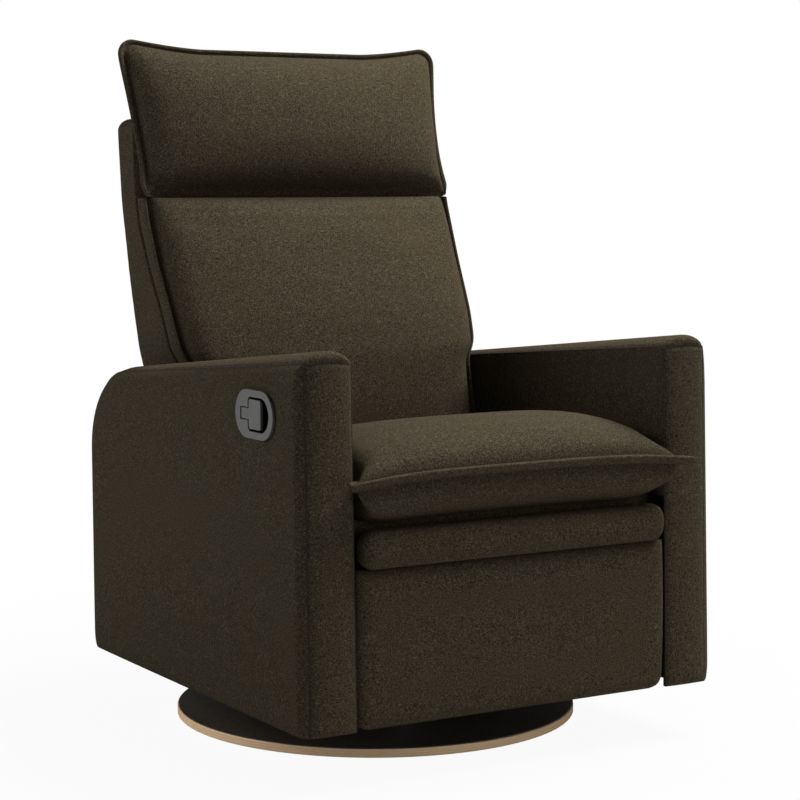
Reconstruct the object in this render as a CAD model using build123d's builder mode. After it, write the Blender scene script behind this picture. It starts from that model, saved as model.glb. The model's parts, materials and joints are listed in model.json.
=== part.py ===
from build123d import *
import os
from math import cos, radians, sin

# Swivel gliding recliner on a round plywood base, in millimetres.
# The origin is on the floor on the swivel axis, +Z is up and the chair faces -Y.
# The arm with the release handle is at -X, on the left of a person facing the chair.
# Side outlines are lists of (depth along Y, height) points.

# Fits
soft_gap = 0.3
running_gap = 0.05

# Base and swivel bearing
base_radius = 323.5
base_top_z = 16
base_edge_radius = 1.5
felt_radius = 312
felt_thickness = 1.5
cover_thickness = 1.2
cover_inset = 2
plate_radius = 150
plate_thickness = 4
ball_circle_radius = 120
race_width = 32
race_height = 6.5
ball_count = 16
ball_radius = 6
ball_gap = 3
king_pin_radius = 12
king_flange_radius = 22
king_flange_height = 5
king_nut_radius = 20
king_nut_height = 9
king_nut_lift = 0.4

# Glide linkage, hung from the swivel frame
glide_half_base = 130
glide_top_z = 225
glide_link_length = 100
stand_x = 188
stand_thickness = 4
stand_web_height = 42
stand_reach = 150
stand_post_width = 32
cross_bar_width = 30
cross_bar_height = 20
cross_bar_y = 105
link_thickness = 4
link_width = 26
link_side_gap = 3
glide_shaft_radius = 8
glide_pin_radius = 6
glide_pin_reach = 1.5

# Mechanism side plates and the bars that join them to the arm frames
side_plate_thickness = 4
side_plate_outline = ((-272, 322), (-272, 280), (-152, 105), (152, 105), (205, 230), (205, 322))
side_plate_corner = 10
mount_bar = 30
mount_bar_z = 305
mount_front_y = -155
mount_rear_y = 165

# Arms
arm_outer_x = 350
arm_width = 75
arm_front_y = -415
arm_front_lean = 15.5
arm_rear_y = 330
arm_rear_tuck = 7
underside_z = 86.5
arm_front_top_z = 610
arm_rear_top_z = 543
arm_rear_radius = 170
arm_pad_edge = 10
side_crown = 14
inner_crown = 5
inner_pad_edge = 4
top_crown = 15
front_crown = 8
band_depth = 6
band_gap = 1.5
pad_depth = 12
low_window = ((-340, 135), (-340, 270), (270, 270), (270, 135))
high_window = ((-350, 392), (-350, 572), (-150, 562), (60, 532), (220, 470), (220, 392))
cable_slot_width = 30

# Seat
deck_z = 379
rail_height = 43
rail_depth = 24
seat_front_rail_y = -362
seat_rear_rail_y = 60
side_rail_width = 22
spring_count = 5
spring_spacing = 95
spring_wire_radius = 1.75
spring_bend_pitch = 40
spring_bend_count = 10
spring_half_width = 24
spring_bend_radius = 11
cushion_side_gap = 9
cushion_front_y = -447
cushion_seam_z = 440
cushion_crown = 71
cushion_belly = 56.5
cushion_side_rise = 0.4
cushion_side_drop = 0.85
flange_reach = 37
flange_thickness = 14
flange_back_y = -414
flange_corner = 10

# Form of the seat cushion from front to rear: (setback, share of the crown, share of the belly)
cushion_form = (
    (0, 0.1, 0.1),
    (14, 0.5, 0.5),
    (45, 0.82, 0.82),
    (120, 1.0, 1.0),
    (160, 1.0, 1.0),
    (300, 0.72, 0.97),
    (420, 0.46, 0.9),
    (513, 0.3, 0.6),
)

# Footrest, closed between the arms
footrest_side_gap = 4
footrest_bottom_z = 88
panel_top_z = 314
panel_front_y = -417
panel_depth = 30
panel_corner = 14
panel_edge = 11
roll_height = 57
roll_depth = 41
roll_front_y = -428
roll_edge = 19
roll_end = 9
board_thickness = 13
board_inset = 13
board_bottom_z = 95
board_top_z = 345

# Footrest linkage
foot_pivot = (-250, 300)
foot_link_length = 175
rear_link_angle = -70
front_link_angle = 75
foot_link_width = 24
torque_tube_radius = 10
foot_pin_radius = 6
foot_pin_reach = 1.5
foot_bracket_height = 60

# Back, hinged behind the seat
recline_pivot = (190, 362)
recline_pin_radius = 8
recline_pin_reach = 2
recline_bracket_width = 50
recline_bracket_low_z = 337
recline_bracket_high_z = 380
recline_bracket_thickness = 4
hinge_plate_x = 254
hinge_plate_thickness = 4
hinge_plate_width = 36
hinge_plate_top = (236, 470)
shell_front_line = ((108, 388), (168, 565), (191, 640), (235, 720), (271, 800), (281, 860), (289, 963))
shell_rear_line = ((232, 388), (264, 470), (299, 556), (332, 680), (364, 829), (371, 943), (362, 963))
shell_side_gap = 10
shell_waist_z = (556, 582)
shell_shoulder = 16
shell_spread = 10
shell_wall = 6
shell_corner = 26
stile_width = 22
stile_depth = 28
stile_low_z = 402
stile_high_z = 925
back_rail_height = 42

# Lumbar cushion, in front of the shell: its form is (height, crown, side depth)
lumbar_rear_tuck = 6
lumbar_form = (
    (392, 4, 28),
    (450, 16, 34),
    (582, 42, 43),
    (700, 46, 38),
    (780, 43, 40),
    (817, 33, 38),
    (833, 12, 30),
)

# Headrest pillow: its form is (distance ahead of the flange, amount drawn in)
headrest_base = (244, 834.6)
headrest_lean = 16
headrest_height = 270
headrest_low_half_width = 290
headrest_high_half_width = 303
headrest_dip = 15
headrest_form = ((-6.5, 16), (2, 8), (18, 16), (36, 38), (50, 72), (58, 112))
headrest_flange = 9
headrest_flange_corner = 20

# Rear panel under the back
rear_panel_y = 264
rear_panel_thickness = 16
rear_panel_low_z = 92
rear_panel_high_z = 368

# Release handle in the -X arm: lengths ahead of or behind the middle of its rim plate
handle_y = -284
handle_z = 530
bezel_length = 115
bezel_height = 70
bezel_lip = 5.5
bezel_proud = 4
cup_depth = 41
cup_wall = 4
finger_opening_radius = 25
finger_opening_reach = 45
finger_opening_corner = 8
paddle_thickness = 5
paddle_bar_width = 36
paddle_bar_height = 42.5
paddle_bar_reach = 20.5
paddle_bar_corner = 4
paddle_stem_height = 15.5
paddle_stem_length = 22.5
paddle_gap = 3
stem_end_gap = 4
stem_side_gap = 1.8
handle_pin_radius = 2.5
handle_pin_length = 50
handle_pin_setback = 4.5
handle_pin_depth = 8
handle_barrel_radius = 5
cable_radius = 2.5
cable_bend = 60
cable_start_depth = 36
cable_drop_offset = 1.5
cable_drop_z = 390
cable_turn = (-286, 250)
cable_end = (-205, 238)
cable_tip_gap = 1.9

# Values that follow from the driving dimensions
half_arm = arm_width / 2
arm_inner_x = arm_outer_x - arm_width
cushion_half_width = arm_inner_x - cushion_side_gap
flange_half_width = cushion_half_width + flange_reach
shell_low_half = arm_inner_x - shell_side_gap
shell_mid_half = shell_low_half + shell_shoulder
shell_high_half = shell_mid_half + shell_spread
shell_width_line = (
    (shell_low_half, shell_front_line[0][1]),
    (shell_low_half, shell_waist_z[0]),
    (shell_mid_half, shell_waist_z[1]),
    (shell_high_half, shell_front_line[-1][1]),
)
footrest_half_width = arm_inner_x - footrest_side_gap
board_half_width = footrest_half_width - board_inset
arm_centre_x = arm_outer_x - half_arm
cable_drop_x = -arm_centre_x - cable_drop_offset
frame_outer_x = arm_outer_x - pad_depth
frame_inner_x = arm_inner_x + pad_depth
arm_front_bottom = (arm_front_y, underside_z)
arm_front_top = (arm_front_y + arm_front_lean, arm_front_top_z)
arm_rear_top = (arm_rear_y, arm_rear_top_z)
arm_rear_bottom = (arm_rear_y - arm_rear_tuck, underside_z)
race_inner_radius = ball_circle_radius - race_width / 2
race_outer_radius = ball_circle_radius + race_width / 2
lower_race_z = base_top_z + plate_thickness
ball_centre_z = lower_race_z + race_height + ball_gap / 2
upper_race_z = ball_centre_z + ball_gap / 2
upper_plate_z = upper_race_z + race_height
stand_base_z = upper_plate_z + plate_thickness
glide_low_z = glide_top_z - glide_link_length
link_x = stand_x + stand_thickness + link_side_gap
side_plate_x = link_x + link_thickness + link_side_gap
foot_link_x = side_plate_x + side_plate_thickness + link_side_gap
front_foot_link_x = foot_link_x + link_thickness + link_side_gap
foot_bracket_x = front_foot_link_x + link_thickness + link_side_gap
board_front_y = panel_front_y + panel_depth + soft_gap
board_back_y = board_front_y + board_thickness
bezel_face_x = -(arm_outer_x + side_crown + bezel_proud)
handle_pin_x = bezel_face_x + handle_pin_depth
cup_length = bezel_length - 2 * bezel_lip
cup_height = bezel_height - 2 * bezel_lip
bar_front_y = handle_y - paddle_bar_reach
bar_back_y = bar_front_y + paddle_bar_width
stem_end_y = bar_back_y + paddle_stem_length
handle_pin_y = stem_end_y - handle_pin_setback
opening_centre_y = handle_y - finger_opening_reach + finger_opening_radius
opening_back_y = bar_back_y + paddle_gap
stem_slot_end_y = stem_end_y + stem_end_gap
rim_thickness = bezel_proud - soft_gap
cup_low_z = handle_z - cup_height / 2

os.makedirs("parts", exist_ok=True)


def write(part, name):
    """Label one finished piece and write it to its own file."""
    part.label = name
    export_step(part, f"parts/{name}.step")


def along(line, height):
    """First value of an outline at a given height, between its points."""
    for low, high in zip(line, line[1:]):
        if height <= high[1]:
            break
    share = (height - low[1]) / (high[1] - low[1])
    return low[0] + share * (high[0] - low[0])


def arm_side(inset):
    """Side outline of an arm, drawn in from its seams by inset."""
    with BuildSketch(Plane.YZ) as side:
        with BuildLine():
            Polyline(arm_front_bottom, arm_front_top, arm_rear_top, arm_rear_bottom, close=True)
        make_face()
        fillet(side.vertices().sort_by_distance(arm_rear_top)[0], arm_rear_radius)
        if inset:
            offset(amount=-inset, mode=Mode.REPLACE)
    return side.sketch_local


def bar_between(start, end, width):
    """Round-ended bar between two pivots, in the side view."""
    middle = ((start[0] + end[0]) / 2, (start[1] + end[1]) / 2)
    with BuildSketch(Plane.YZ) as bar:
        SlotCenterPoint(center=middle, point=end, height=width)
    return bar.sketch_local


def swung(pivot, length, angle):
    """Point at a distance from a pivot, at an angle turned up from straight ahead of the chair."""
    return (pivot[0] - length * cos(radians(angle)), pivot[1] + length * sin(radians(angle)))


knee = swung(foot_pivot, foot_link_length, rear_link_angle)
foot_end = swung(knee, foot_link_length, front_link_angle)

# Base: a felt sheet under a plywood disc with a dark top sheet
with BuildPart() as base_felt:
    with BuildSketch(Plane.XY):
        Circle(felt_radius)
    extrude(amount=felt_thickness)
write(base_felt.part, "base_felt")

with BuildPart() as base_disc:
    with BuildSketch(Plane.XY.offset(felt_thickness)):
        Circle(base_radius)
    extrude(amount=base_top_z - cover_thickness - felt_thickness)
    fillet(base_disc.edges(), base_edge_radius)
write(base_disc.part, "base_disc")

with BuildPart() as base_cover:
    with BuildSketch(Plane.XY.offset(base_top_z - cover_thickness)):
        Circle(base_radius - cover_inset)
    extrude(amount=cover_thickness)
write(base_cover.part, "base_cover")

# Swivel bearing: two plates, two grooved races and a ring of balls round a king pin
with BuildPart() as swivel_lower_plate:
    with BuildSketch(Plane.XY.offset(base_top_z)):
        Circle(plate_radius)
    extrude(amount=plate_thickness)
write(swivel_lower_plate.part, "swivel_lower_plate")

with BuildPart() as swivel_lower_race:
    with BuildSketch(Plane.XY.offset(lower_race_z)):
        Circle(race_outer_radius)
        Circle(race_inner_radius, mode=Mode.SUBTRACT)
    extrude(amount=race_height)
    with BuildSketch(Plane.XZ):
        with Locations((ball_circle_radius, ball_centre_z)):
            Circle(ball_radius)
    revolve(axis=Axis.Z, mode=Mode.SUBTRACT)
write(swivel_lower_race.part, "swivel_lower_race")

with BuildPart() as swivel_balls:
    with Locations((0, 0, ball_centre_z)):
        with PolarLocations(ball_circle_radius, ball_count):
            Sphere(ball_radius - running_gap)
write(swivel_balls.part, "swivel_balls")

with BuildPart() as king_pin:
    with BuildSketch(Plane.XY.offset(lower_race_z)):
        Circle(king_flange_radius)
    extrude(amount=king_flange_height)
    with BuildSketch(Plane.XY.offset(lower_race_z)):
        Circle(king_pin_radius)
    extrude(amount=stand_base_z + king_nut_lift - lower_race_z)
write(king_pin.part, "king_pin")

with BuildPart() as king_nut:
    with BuildSketch(Plane.XY.offset(stand_base_z + king_nut_lift)):
        RegularPolygon(king_nut_radius, side_count=6)
    extrude(amount=king_nut_height)
write(king_nut.part, "king_nut")

with BuildPart() as swivel_upper_race:
    with BuildSketch(Plane.XY.offset(upper_race_z)):
        Circle(race_outer_radius)
        Circle(race_inner_radius, mode=Mode.SUBTRACT)
    extrude(amount=race_height)
    with BuildSketch(Plane.XZ):
        with Locations((ball_circle_radius, ball_centre_z)):
            Circle(ball_radius + soft_gap)
    revolve(axis=Axis.Z, mode=Mode.SUBTRACT)
write(swivel_upper_race.part, "swivel_upper_race")

with BuildPart() as swivel_upper_plate:
    with BuildSketch(Plane.XY.offset(upper_plate_z)):
        Circle(plate_radius)
        Circle(king_pin_radius + running_gap, mode=Mode.SUBTRACT)
    extrude(amount=plate_thickness)
write(swivel_upper_plate.part, "swivel_upper_plate")

# Glide frame: cross bars on the upper plate carry a stand on each side
with BuildPart() as glide_cross_bars:
    with BuildSketch(Plane.XY.offset(stand_base_z)):
        with GridLocations(1, 2 * cross_bar_y, 1, 2):
            Rectangle(2 * stand_x, cross_bar_width)
    extrude(amount=cross_bar_height)
write(glide_cross_bars.part, "glide_cross_bars")

with BuildPart() as glide_stands:
    with BuildSketch(Plane.YZ.offset(stand_x)):
        with Locations((0, stand_base_z + stand_web_height / 2)):
            Rectangle(2 * stand_reach, stand_web_height)
        for post_y in (-glide_half_base, glide_half_base):
            post_foot = (post_y, stand_base_z + stand_post_width)
            add(bar_between(post_foot, (post_y, glide_top_z), stand_post_width))
        with Locations((-glide_half_base, glide_top_z), (glide_half_base, glide_top_z)):
            Circle(glide_shaft_radius + running_gap, mode=Mode.SUBTRACT)
    extrude(amount=stand_thickness)
    mirror(about=Plane.YZ)
write(glide_stands.part, "glide_stands")

# Swing links: a pair at the front and a pair at the rear, each on a shaft through both stands
for place, link_y in (("front", -glide_half_base), ("rear", glide_half_base)):
    with BuildPart() as swing_links:
        with BuildSketch(Plane.YZ.offset(link_x)):
            add(bar_between((link_y, glide_low_z), (link_y, glide_top_z), link_width))
            with Locations((link_y, glide_low_z)):
                Circle(glide_pin_radius + running_gap, mode=Mode.SUBTRACT)
        extrude(amount=link_thickness)
        mirror(about=Plane.YZ)
    write(swing_links.part, f"{place}_swing_links")

    with BuildPart() as swing_shaft:
        with BuildSketch(Plane.YZ.offset(-link_x)):
            with Locations((link_y, glide_top_z)):
                Circle(glide_shaft_radius)
        extrude(amount=2 * link_x)
    write(swing_shaft.part, f"{place}_swing_shaft")

# Chair mechanism: a plate on each side, its glide pins and the bars that carry the arm frames
with BuildPart() as mechanism_plates:
    with BuildSketch(Plane.YZ.offset(side_plate_x)) as plate_side:
        with BuildLine():
            Polyline(*side_plate_outline, close=True)
        make_face()
        fillet(plate_side.vertices(), side_plate_corner)
        with Locations(foot_pivot):
            Circle(torque_tube_radius + running_gap, mode=Mode.SUBTRACT)
    extrude(amount=side_plate_thickness)
    mirror(about=Plane.YZ)
write(mechanism_plates.part, "mechanism_plates")

with BuildPart() as glide_pins:
    with BuildSketch(Plane.YZ.offset(link_x - glide_pin_reach)):
        with Locations((-glide_half_base, glide_low_z), (glide_half_base, glide_low_z)):
            Circle(glide_pin_radius)
    extrude(amount=side_plate_x - link_x + glide_pin_reach)
    mirror(about=Plane.YZ)
write(glide_pins.part, "glide_pins")

with BuildPart() as mechanism_mounts:
    with BuildSketch(Plane.YZ.offset(side_plate_x + side_plate_thickness)):
        with Locations((mount_front_y, mount_bar_z), (mount_rear_y, mount_bar_z)):
            Rectangle(mount_bar, mount_bar)
    extrude(amount=frame_inner_x - side_plate_x - side_plate_thickness)
    mirror(about=Plane.YZ)
write(mechanism_mounts.part, "mechanism_mounts")

# Arms: a wooden frame between two side pads, with a band over the front and the top
with BuildPart() as arm_frame_right:
    with BuildSketch(Plane.YZ.offset(frame_inner_x)):
        add(arm_side(band_depth + soft_gap))
        for window in (low_window, high_window):
            with BuildLine():
                Polyline(*window, close=True)
            make_face(mode=Mode.SUBTRACT)
        with Locations((handle_y, (low_window[1][1] + high_window[0][1]) / 2)):
            Rectangle(cable_slot_width, high_window[0][1] - low_window[1][1], mode=Mode.SUBTRACT)
    extrude(amount=frame_outer_x - frame_inner_x)
write(arm_frame_right.part, "arm_frame_right")

with BuildPart() as arm_outer_pad_right:
    with BuildSketch(Plane.YZ.offset(frame_outer_x + soft_gap)):
        add(arm_side(band_depth + 2 * soft_gap))
    extrude(amount=pad_depth)
    with BuildSketch(Plane.YZ.offset(arm_outer_x + soft_gap)):
        add(arm_side(0))
    extrude(amount=side_crown - soft_gap)
    fillet(arm_outer_pad_right.faces().sort_by(Axis.X)[-1].edges(), arm_pad_edge)
write(arm_outer_pad_right.part, "arm_outer_pad_right")

with BuildPart() as arm_inner_pad_right:
    with BuildSketch(Plane.YZ.offset(arm_inner_x - soft_gap)):
        add(arm_side(band_depth + 2 * soft_gap))
    extrude(amount=pad_depth)
    with BuildSketch(Plane.YZ.offset(arm_inner_x - inner_crown)):
        add(arm_side(0))
    extrude(amount=inner_crown - soft_gap)
    split(bisect_by=Plane.XY.offset(deck_z + spring_wire_radius), keep=Keep.TOP)
    fillet(arm_inner_pad_right.faces().sort_by(Axis.X)[0].edges(), inner_pad_edge)
write(arm_inner_pad_right.part, "arm_inner_pad_right")

with BuildPart() as arm_top_band_right:
    with BuildLine(Plane.YZ.offset(arm_centre_x)) as top_seam:
        FilletPolyline(arm_front_top, arm_rear_top, arm_rear_bottom, radius=arm_rear_radius)
    with BuildSketch(Plane(origin=top_seam.line @ 0, x_dir=(1, 0, 0), z_dir=top_seam.line % 0)):
        with BuildLine():
            Polyline((-half_arm, 0), (-half_arm, band_depth), (half_arm, band_depth), (half_arm, 0))
            ThreePointArc((half_arm, 0), (0, -top_crown), (-half_arm, 0))
        make_face()
    sweep()
write(arm_top_band_right.part, "arm_top_band_right")

with BuildPart() as arm_front_band_right:
    with BuildLine(Plane.YZ.offset(arm_centre_x)) as front_seam:
        Line(arm_front_bottom, arm_front_top)
    with BuildSketch(Plane(origin=front_seam.line @ 0, x_dir=(1, 0, 0), z_dir=front_seam.line % 0)):
        with BuildLine():
            Polyline((-half_arm, 0), (-half_arm, band_depth), (half_arm, band_depth), (half_arm, 0))
            ThreePointArc((half_arm, 0), (0, -front_crown), (-half_arm, 0))
        make_face()
    sweep()
    split(bisect_by=Plane.XY.offset(arm_front_top_z - band_depth - band_gap), keep=Keep.BOTTOM)
write(arm_front_band_right.part, "arm_front_band_right")

with BuildPart() as arm_frame_left:
    mirror(arm_frame_right.part, about=Plane.YZ)
write(arm_frame_left.part, "arm_frame_left")

with BuildPart() as arm_outer_pad_left:
    mirror(arm_outer_pad_right.part, about=Plane.YZ)
    with BuildSketch(Plane.YZ.offset(bezel_face_x)):
        with Locations((handle_y, handle_z)):
            SlotOverall(cup_length + 2 * soft_gap, cup_height + 2 * soft_gap)
    extrude(amount=cup_depth, mode=Mode.SUBTRACT)
write(arm_outer_pad_left.part, "arm_outer_pad_left")

for name, piece in (
    ("arm_inner_pad", arm_inner_pad_right),
    ("arm_top_band", arm_top_band_right),
    ("arm_front_band", arm_front_band_right),
):
    with BuildPart() as left_piece:
        mirror(piece.part, about=Plane.YZ)
    write(left_piece.part, f"{name}_left")

# Seat: wooden rails between the arm frames, zigzag springs and the cushion
for place, rail_y in (("front", seat_front_rail_y), ("rear", seat_rear_rail_y)):
    with BuildPart() as seat_rail:
        with BuildSketch(Plane.YZ.offset(-frame_inner_x)):
            with Locations((rail_y, deck_z - rail_height)):
                Rectangle(rail_depth, rail_height, align=(Align.MIN, Align.MIN))
        extrude(amount=2 * frame_inner_x)
    write(seat_rail.part, f"seat_{place}_rail")

with BuildPart() as seat_side_rails:
    with BuildSketch(Plane.XZ.offset(-seat_front_rail_y - rail_depth)):
        with Locations((frame_inner_x - side_rail_width, deck_z - rail_height)):
            Rectangle(side_rail_width, rail_height, align=(Align.MIN, Align.MIN))
    extrude(amount=seat_front_rail_y + rail_depth - seat_rear_rail_y)
    mirror(about=Plane.YZ)
write(seat_side_rails.part, "seat_side_rails")

spring_z = deck_z + spring_wire_radius
spring_first_y = seat_front_rail_y + rail_depth / 2
spring_last_y = seat_rear_rail_y + rail_depth / 2
spring_start_y = (spring_first_y + spring_last_y - spring_bend_pitch * (spring_bend_count - 1)) / 2
with BuildPart() as seat_springs:
    for index in range(spring_count):
        spring_x = (index - (spring_count - 1) / 2) * spring_spacing
        side = spring_half_width
        turns = [(spring_x, spring_first_y), (spring_x, spring_start_y)]
        for bend in range(spring_bend_count):
            bend_y = spring_start_y + bend * spring_bend_pitch
            turns += [(spring_x + side, bend_y), (spring_x + side, bend_y + spring_bend_pitch)]
            side = -side
        turns = turns[:-2] + [(spring_x, turns[-3][1]), (spring_x, spring_last_y)]
        with BuildLine(Plane.XY.offset(spring_z)) as wire:
            FilletPolyline(*turns, radius=spring_bend_radius)
        with BuildSketch(Plane(origin=wire.line @ 0, z_dir=wire.line % 0)):
            Circle(spring_wire_radius)
        sweep()
write(seat_springs.part, "seat_springs")

with BuildPart() as seat_cushion:
    reach = cushion_half_width
    for setback, crown_share, belly_share in cushion_form:
        crown = crown_share * cushion_crown
        belly = belly_share * cushion_belly
        top = cushion_seam_z + crown
        bottom = cushion_seam_z - belly
        side_top = cushion_seam_z + crown * cushion_side_rise
        side_bottom = cushion_seam_z - belly * cushion_side_drop
        with BuildSketch(Plane.XZ.offset(-cushion_front_y - setback)):
            with BuildLine():
                Line((-reach, side_top), (-reach, side_bottom))
                ThreePointArc((-reach, side_bottom), (0, bottom), (reach, side_bottom))
                Line((reach, side_bottom), (reach, side_top))
                ThreePointArc((reach, side_top), (0, top), (-reach, side_top))
            make_face()
    loft()
    with BuildSketch(Plane.XY.offset(cushion_seam_z - flange_thickness / 2)) as flange_plan:
        with Locations((0, cushion_front_y)):
            flange_depth = flange_back_y - cushion_front_y
            Rectangle(2 * flange_half_width, flange_depth, align=(Align.CENTER, Align.MIN))
        fillet(flange_plan.vertices(), flange_corner)
    extrude(amount=flange_thickness)
write(seat_cushion.part, "seat_cushion")

# Footrest: a board with a padded panel, a bolster roll above it and a bracket on each side
with BuildPart() as footrest_board:
    with BuildSketch(Plane.XZ.offset(-board_back_y)):
        with Locations((0, board_bottom_z)):
            Rectangle(2 * board_half_width, board_top_z - board_bottom_z, align=(Align.CENTER, Align.MIN))
    extrude(amount=board_thickness)
write(footrest_board.part, "footrest_board")

with BuildPart() as footrest_panel:
    with BuildSketch(Plane.XZ.offset(-panel_front_y - panel_depth)):
        with Locations((0, (footrest_bottom_z + panel_top_z) / 2)):
            RectangleRounded(2 * footrest_half_width, panel_top_z - footrest_bottom_z, panel_corner)
    extrude(amount=panel_depth)
    fillet(footrest_panel.faces().sort_by(Axis.Y)[0].edges(), panel_edge)
write(footrest_panel.part, "footrest_panel")

with BuildPart() as footrest_roll:
    with BuildSketch(Plane.YZ.offset(-footrest_half_width)):
        with Locations((roll_front_y + roll_depth / 2, panel_top_z + soft_gap + roll_height / 2)):
            RectangleRounded(roll_depth, roll_height, roll_edge)
    extrude(amount=2 * footrest_half_width)
    fillet(footrest_roll.faces().filter_by(Axis.X).edges(), roll_end)
write(footrest_roll.part, "footrest_roll")

with BuildPart() as footrest_brackets:
    with BuildSketch(Plane.YZ.offset(foot_bracket_x)):
        add(bar_between(foot_end, (board_back_y, foot_end[1]), foot_link_width))
        with Locations((board_back_y, foot_end[1])):
            Rectangle(foot_link_width / 2, foot_bracket_height, align=(Align.MIN, Align.CENTER))
        with Locations((board_back_y, foot_end[1])):
            ahead = (Align.MAX, Align.CENTER)
            Rectangle(foot_link_width, foot_bracket_height, align=ahead, mode=Mode.SUBTRACT)
    extrude(amount=link_thickness)
    mirror(about=Plane.YZ)
write(footrest_brackets.part, "footrest_brackets")

with BuildPart() as footrest_pins:
    with BuildSketch(Plane.YZ.offset(front_foot_link_x - foot_pin_reach)):
        with Locations(foot_end):
            Circle(foot_pin_radius)
    extrude(amount=foot_bracket_x - front_foot_link_x + foot_pin_reach)
    mirror(about=Plane.YZ)
write(footrest_pins.part, "footrest_pins")

# Footrest linkage: rear links on a torque tube, knee pins and front links
with BuildPart() as footrest_rear_links:
    with BuildSketch(Plane.YZ.offset(foot_link_x)):
        add(bar_between(foot_pivot, knee, foot_link_width))
    extrude(amount=link_thickness)
    mirror(about=Plane.YZ)
write(footrest_rear_links.part, "footrest_rear_links")

with BuildPart() as footrest_torque_tube:
    with BuildSketch(Plane.YZ.offset(-foot_link_x)):
        with Locations(foot_pivot):
            Circle(torque_tube_radius)
    extrude(amount=2 * foot_link_x)
write(footrest_torque_tube.part, "footrest_torque_tube")

with BuildPart() as footrest_knee_pins:
    with BuildSketch(Plane.YZ.offset(foot_link_x + link_thickness)):
        with Locations(knee):
            Circle(foot_pin_radius)
    extrude(amount=link_side_gap + link_thickness + foot_pin_reach)
    mirror(about=Plane.YZ)
write(footrest_knee_pins.part, "footrest_knee_pins")

with BuildPart() as footrest_front_links:
    with BuildSketch(Plane.YZ.offset(front_foot_link_x)):
        add(bar_between(knee, foot_end, foot_link_width))
        with Locations(knee, foot_end):
            Circle(foot_pin_radius + running_gap, mode=Mode.SUBTRACT)
    extrude(amount=link_thickness)
    mirror(about=Plane.YZ)
write(footrest_front_links.part, "footrest_front_links")

# Back hinge: a bracket and a pin on each arm frame, a plate on each stile
with BuildPart() as recline_brackets:
    with BuildSketch(Plane.YZ.offset(frame_inner_x - recline_bracket_thickness)):
        with Locations((recline_pivot[0], recline_bracket_low_z)):
            Rectangle(
                recline_bracket_width,
                recline_bracket_high_z - recline_bracket_low_z,
                align=(Align.CENTER, Align.MIN),
            )
    extrude(amount=recline_bracket_thickness)
    mirror(about=Plane.YZ)
write(recline_brackets.part, "recline_brackets")

with BuildPart() as recline_pins:
    with BuildSketch(Plane.YZ.offset(hinge_plate_x - recline_pin_reach)):
        with Locations(recline_pivot):
            Circle(recline_pin_radius)
    extrude(amount=frame_inner_x - recline_bracket_thickness - hinge_plate_x + recline_pin_reach)
    mirror(about=Plane.YZ)
write(recline_pins.part, "recline_pins")

with BuildPart() as back_hinge_plates:
    with BuildSketch(Plane.YZ.offset(hinge_plate_x)):
        add(bar_between(recline_pivot, hinge_plate_top, hinge_plate_width))
        with Locations(recline_pivot):
            Circle(recline_pin_radius + running_gap, mode=Mode.SUBTRACT)
    extrude(amount=hinge_plate_thickness)
    mirror(about=Plane.YZ)
write(back_hinge_plates.part, "back_hinge_plates")

# Back frame: two stiles and two rails inside the upholstered shell
stile_back = shell_wall + soft_gap
with BuildPart() as back_stiles:
    with BuildSketch(Plane.YZ.offset(hinge_plate_x - stile_width)):
        stile_foot_y = along(shell_rear_line, stile_low_z) - stile_back
        stile_head_y = along(shell_rear_line, stile_high_z) - stile_back - stile_depth / 2
        with BuildLine():
            Polyline(
                (stile_foot_y - stile_depth, stile_low_z),
                (stile_foot_y, stile_low_z),
                (stile_head_y, stile_high_z),
                (stile_head_y - stile_depth, stile_high_z),
                close=True,
            )
        make_face()
    extrude(amount=stile_width)
    mirror(about=Plane.YZ)
write(back_stiles.part, "back_stiles")

stile_line = ((stile_foot_y, stile_low_z), (stile_head_y, stile_high_z))
for place, rail_z in (("lower", stile_low_z), ("upper", stile_high_z - back_rail_height)):
    with BuildPart() as back_rail:
        with BuildSketch(Plane.YZ.offset(stile_width - hinge_plate_x)):
            with Locations((along(stile_line, rail_z), rail_z)):
                Rectangle(stile_depth, back_rail_height, align=(Align.MAX, Align.MIN))
        extrude(amount=2 * (hinge_plate_x - stile_width))
    write(back_rail.part, f"back_{place}_rail")


def shell_side(wall):
    """Side outline of the back shell, or of its hollow when a wall is taken off."""
    front_reach = -lumbar_form[0][2] if wall else 0
    with BuildSketch(Plane.YZ) as side:
        with BuildLine():
            front = [(y + front_reach, z) for y, z in shell_front_line]
            top_z = shell_rear_line[-1][1]
            rear = [(y - wall, z - wall if z == top_z else z) for y, z in shell_rear_line]
            front[-1] = (front[-1][0], rear[-1][1])
            Polyline(*front, *reversed(rear), close=True)
        make_face()
    return side.sketch_local


def shell_front(wall):
    """Front outline of the back shell, drawn in by a wall."""
    right = [(x - wall, z) for x, z in shell_width_line]
    right[-1] = (right[-1][0], right[-1][1] - wall)
    with BuildSketch(Plane.XZ) as front:
        with BuildLine():
            Polyline(*right, *[(-x, z) for x, z in reversed(right)], close=True)
        make_face()
        fillet(front.vertices().group_by(Axis.Y)[-1], shell_corner - wall)
    return front.sketch_local


shell_span = 2 * shell_width_line[-1][0]
with BuildPart() as shell_hollow:
    with BuildSketch(Plane.YZ):
        add(shell_side(shell_wall))
    extrude(amount=shell_span, both=True)
    with BuildSketch(Plane.XZ):
        add(shell_front(shell_wall))
    extrude(amount=shell_span, both=True, mode=Mode.INTERSECT)

with BuildPart() as back_shell:
    with BuildSketch(Plane.YZ):
        add(shell_side(0))
    extrude(amount=shell_span, both=True)
    with BuildSketch(Plane.XZ):
        add(shell_front(0))
    extrude(amount=shell_span, both=True, mode=Mode.INTERSECT)
    add(shell_hollow.part, mode=Mode.SUBTRACT)
write(back_shell.part, "back_shell")

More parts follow.
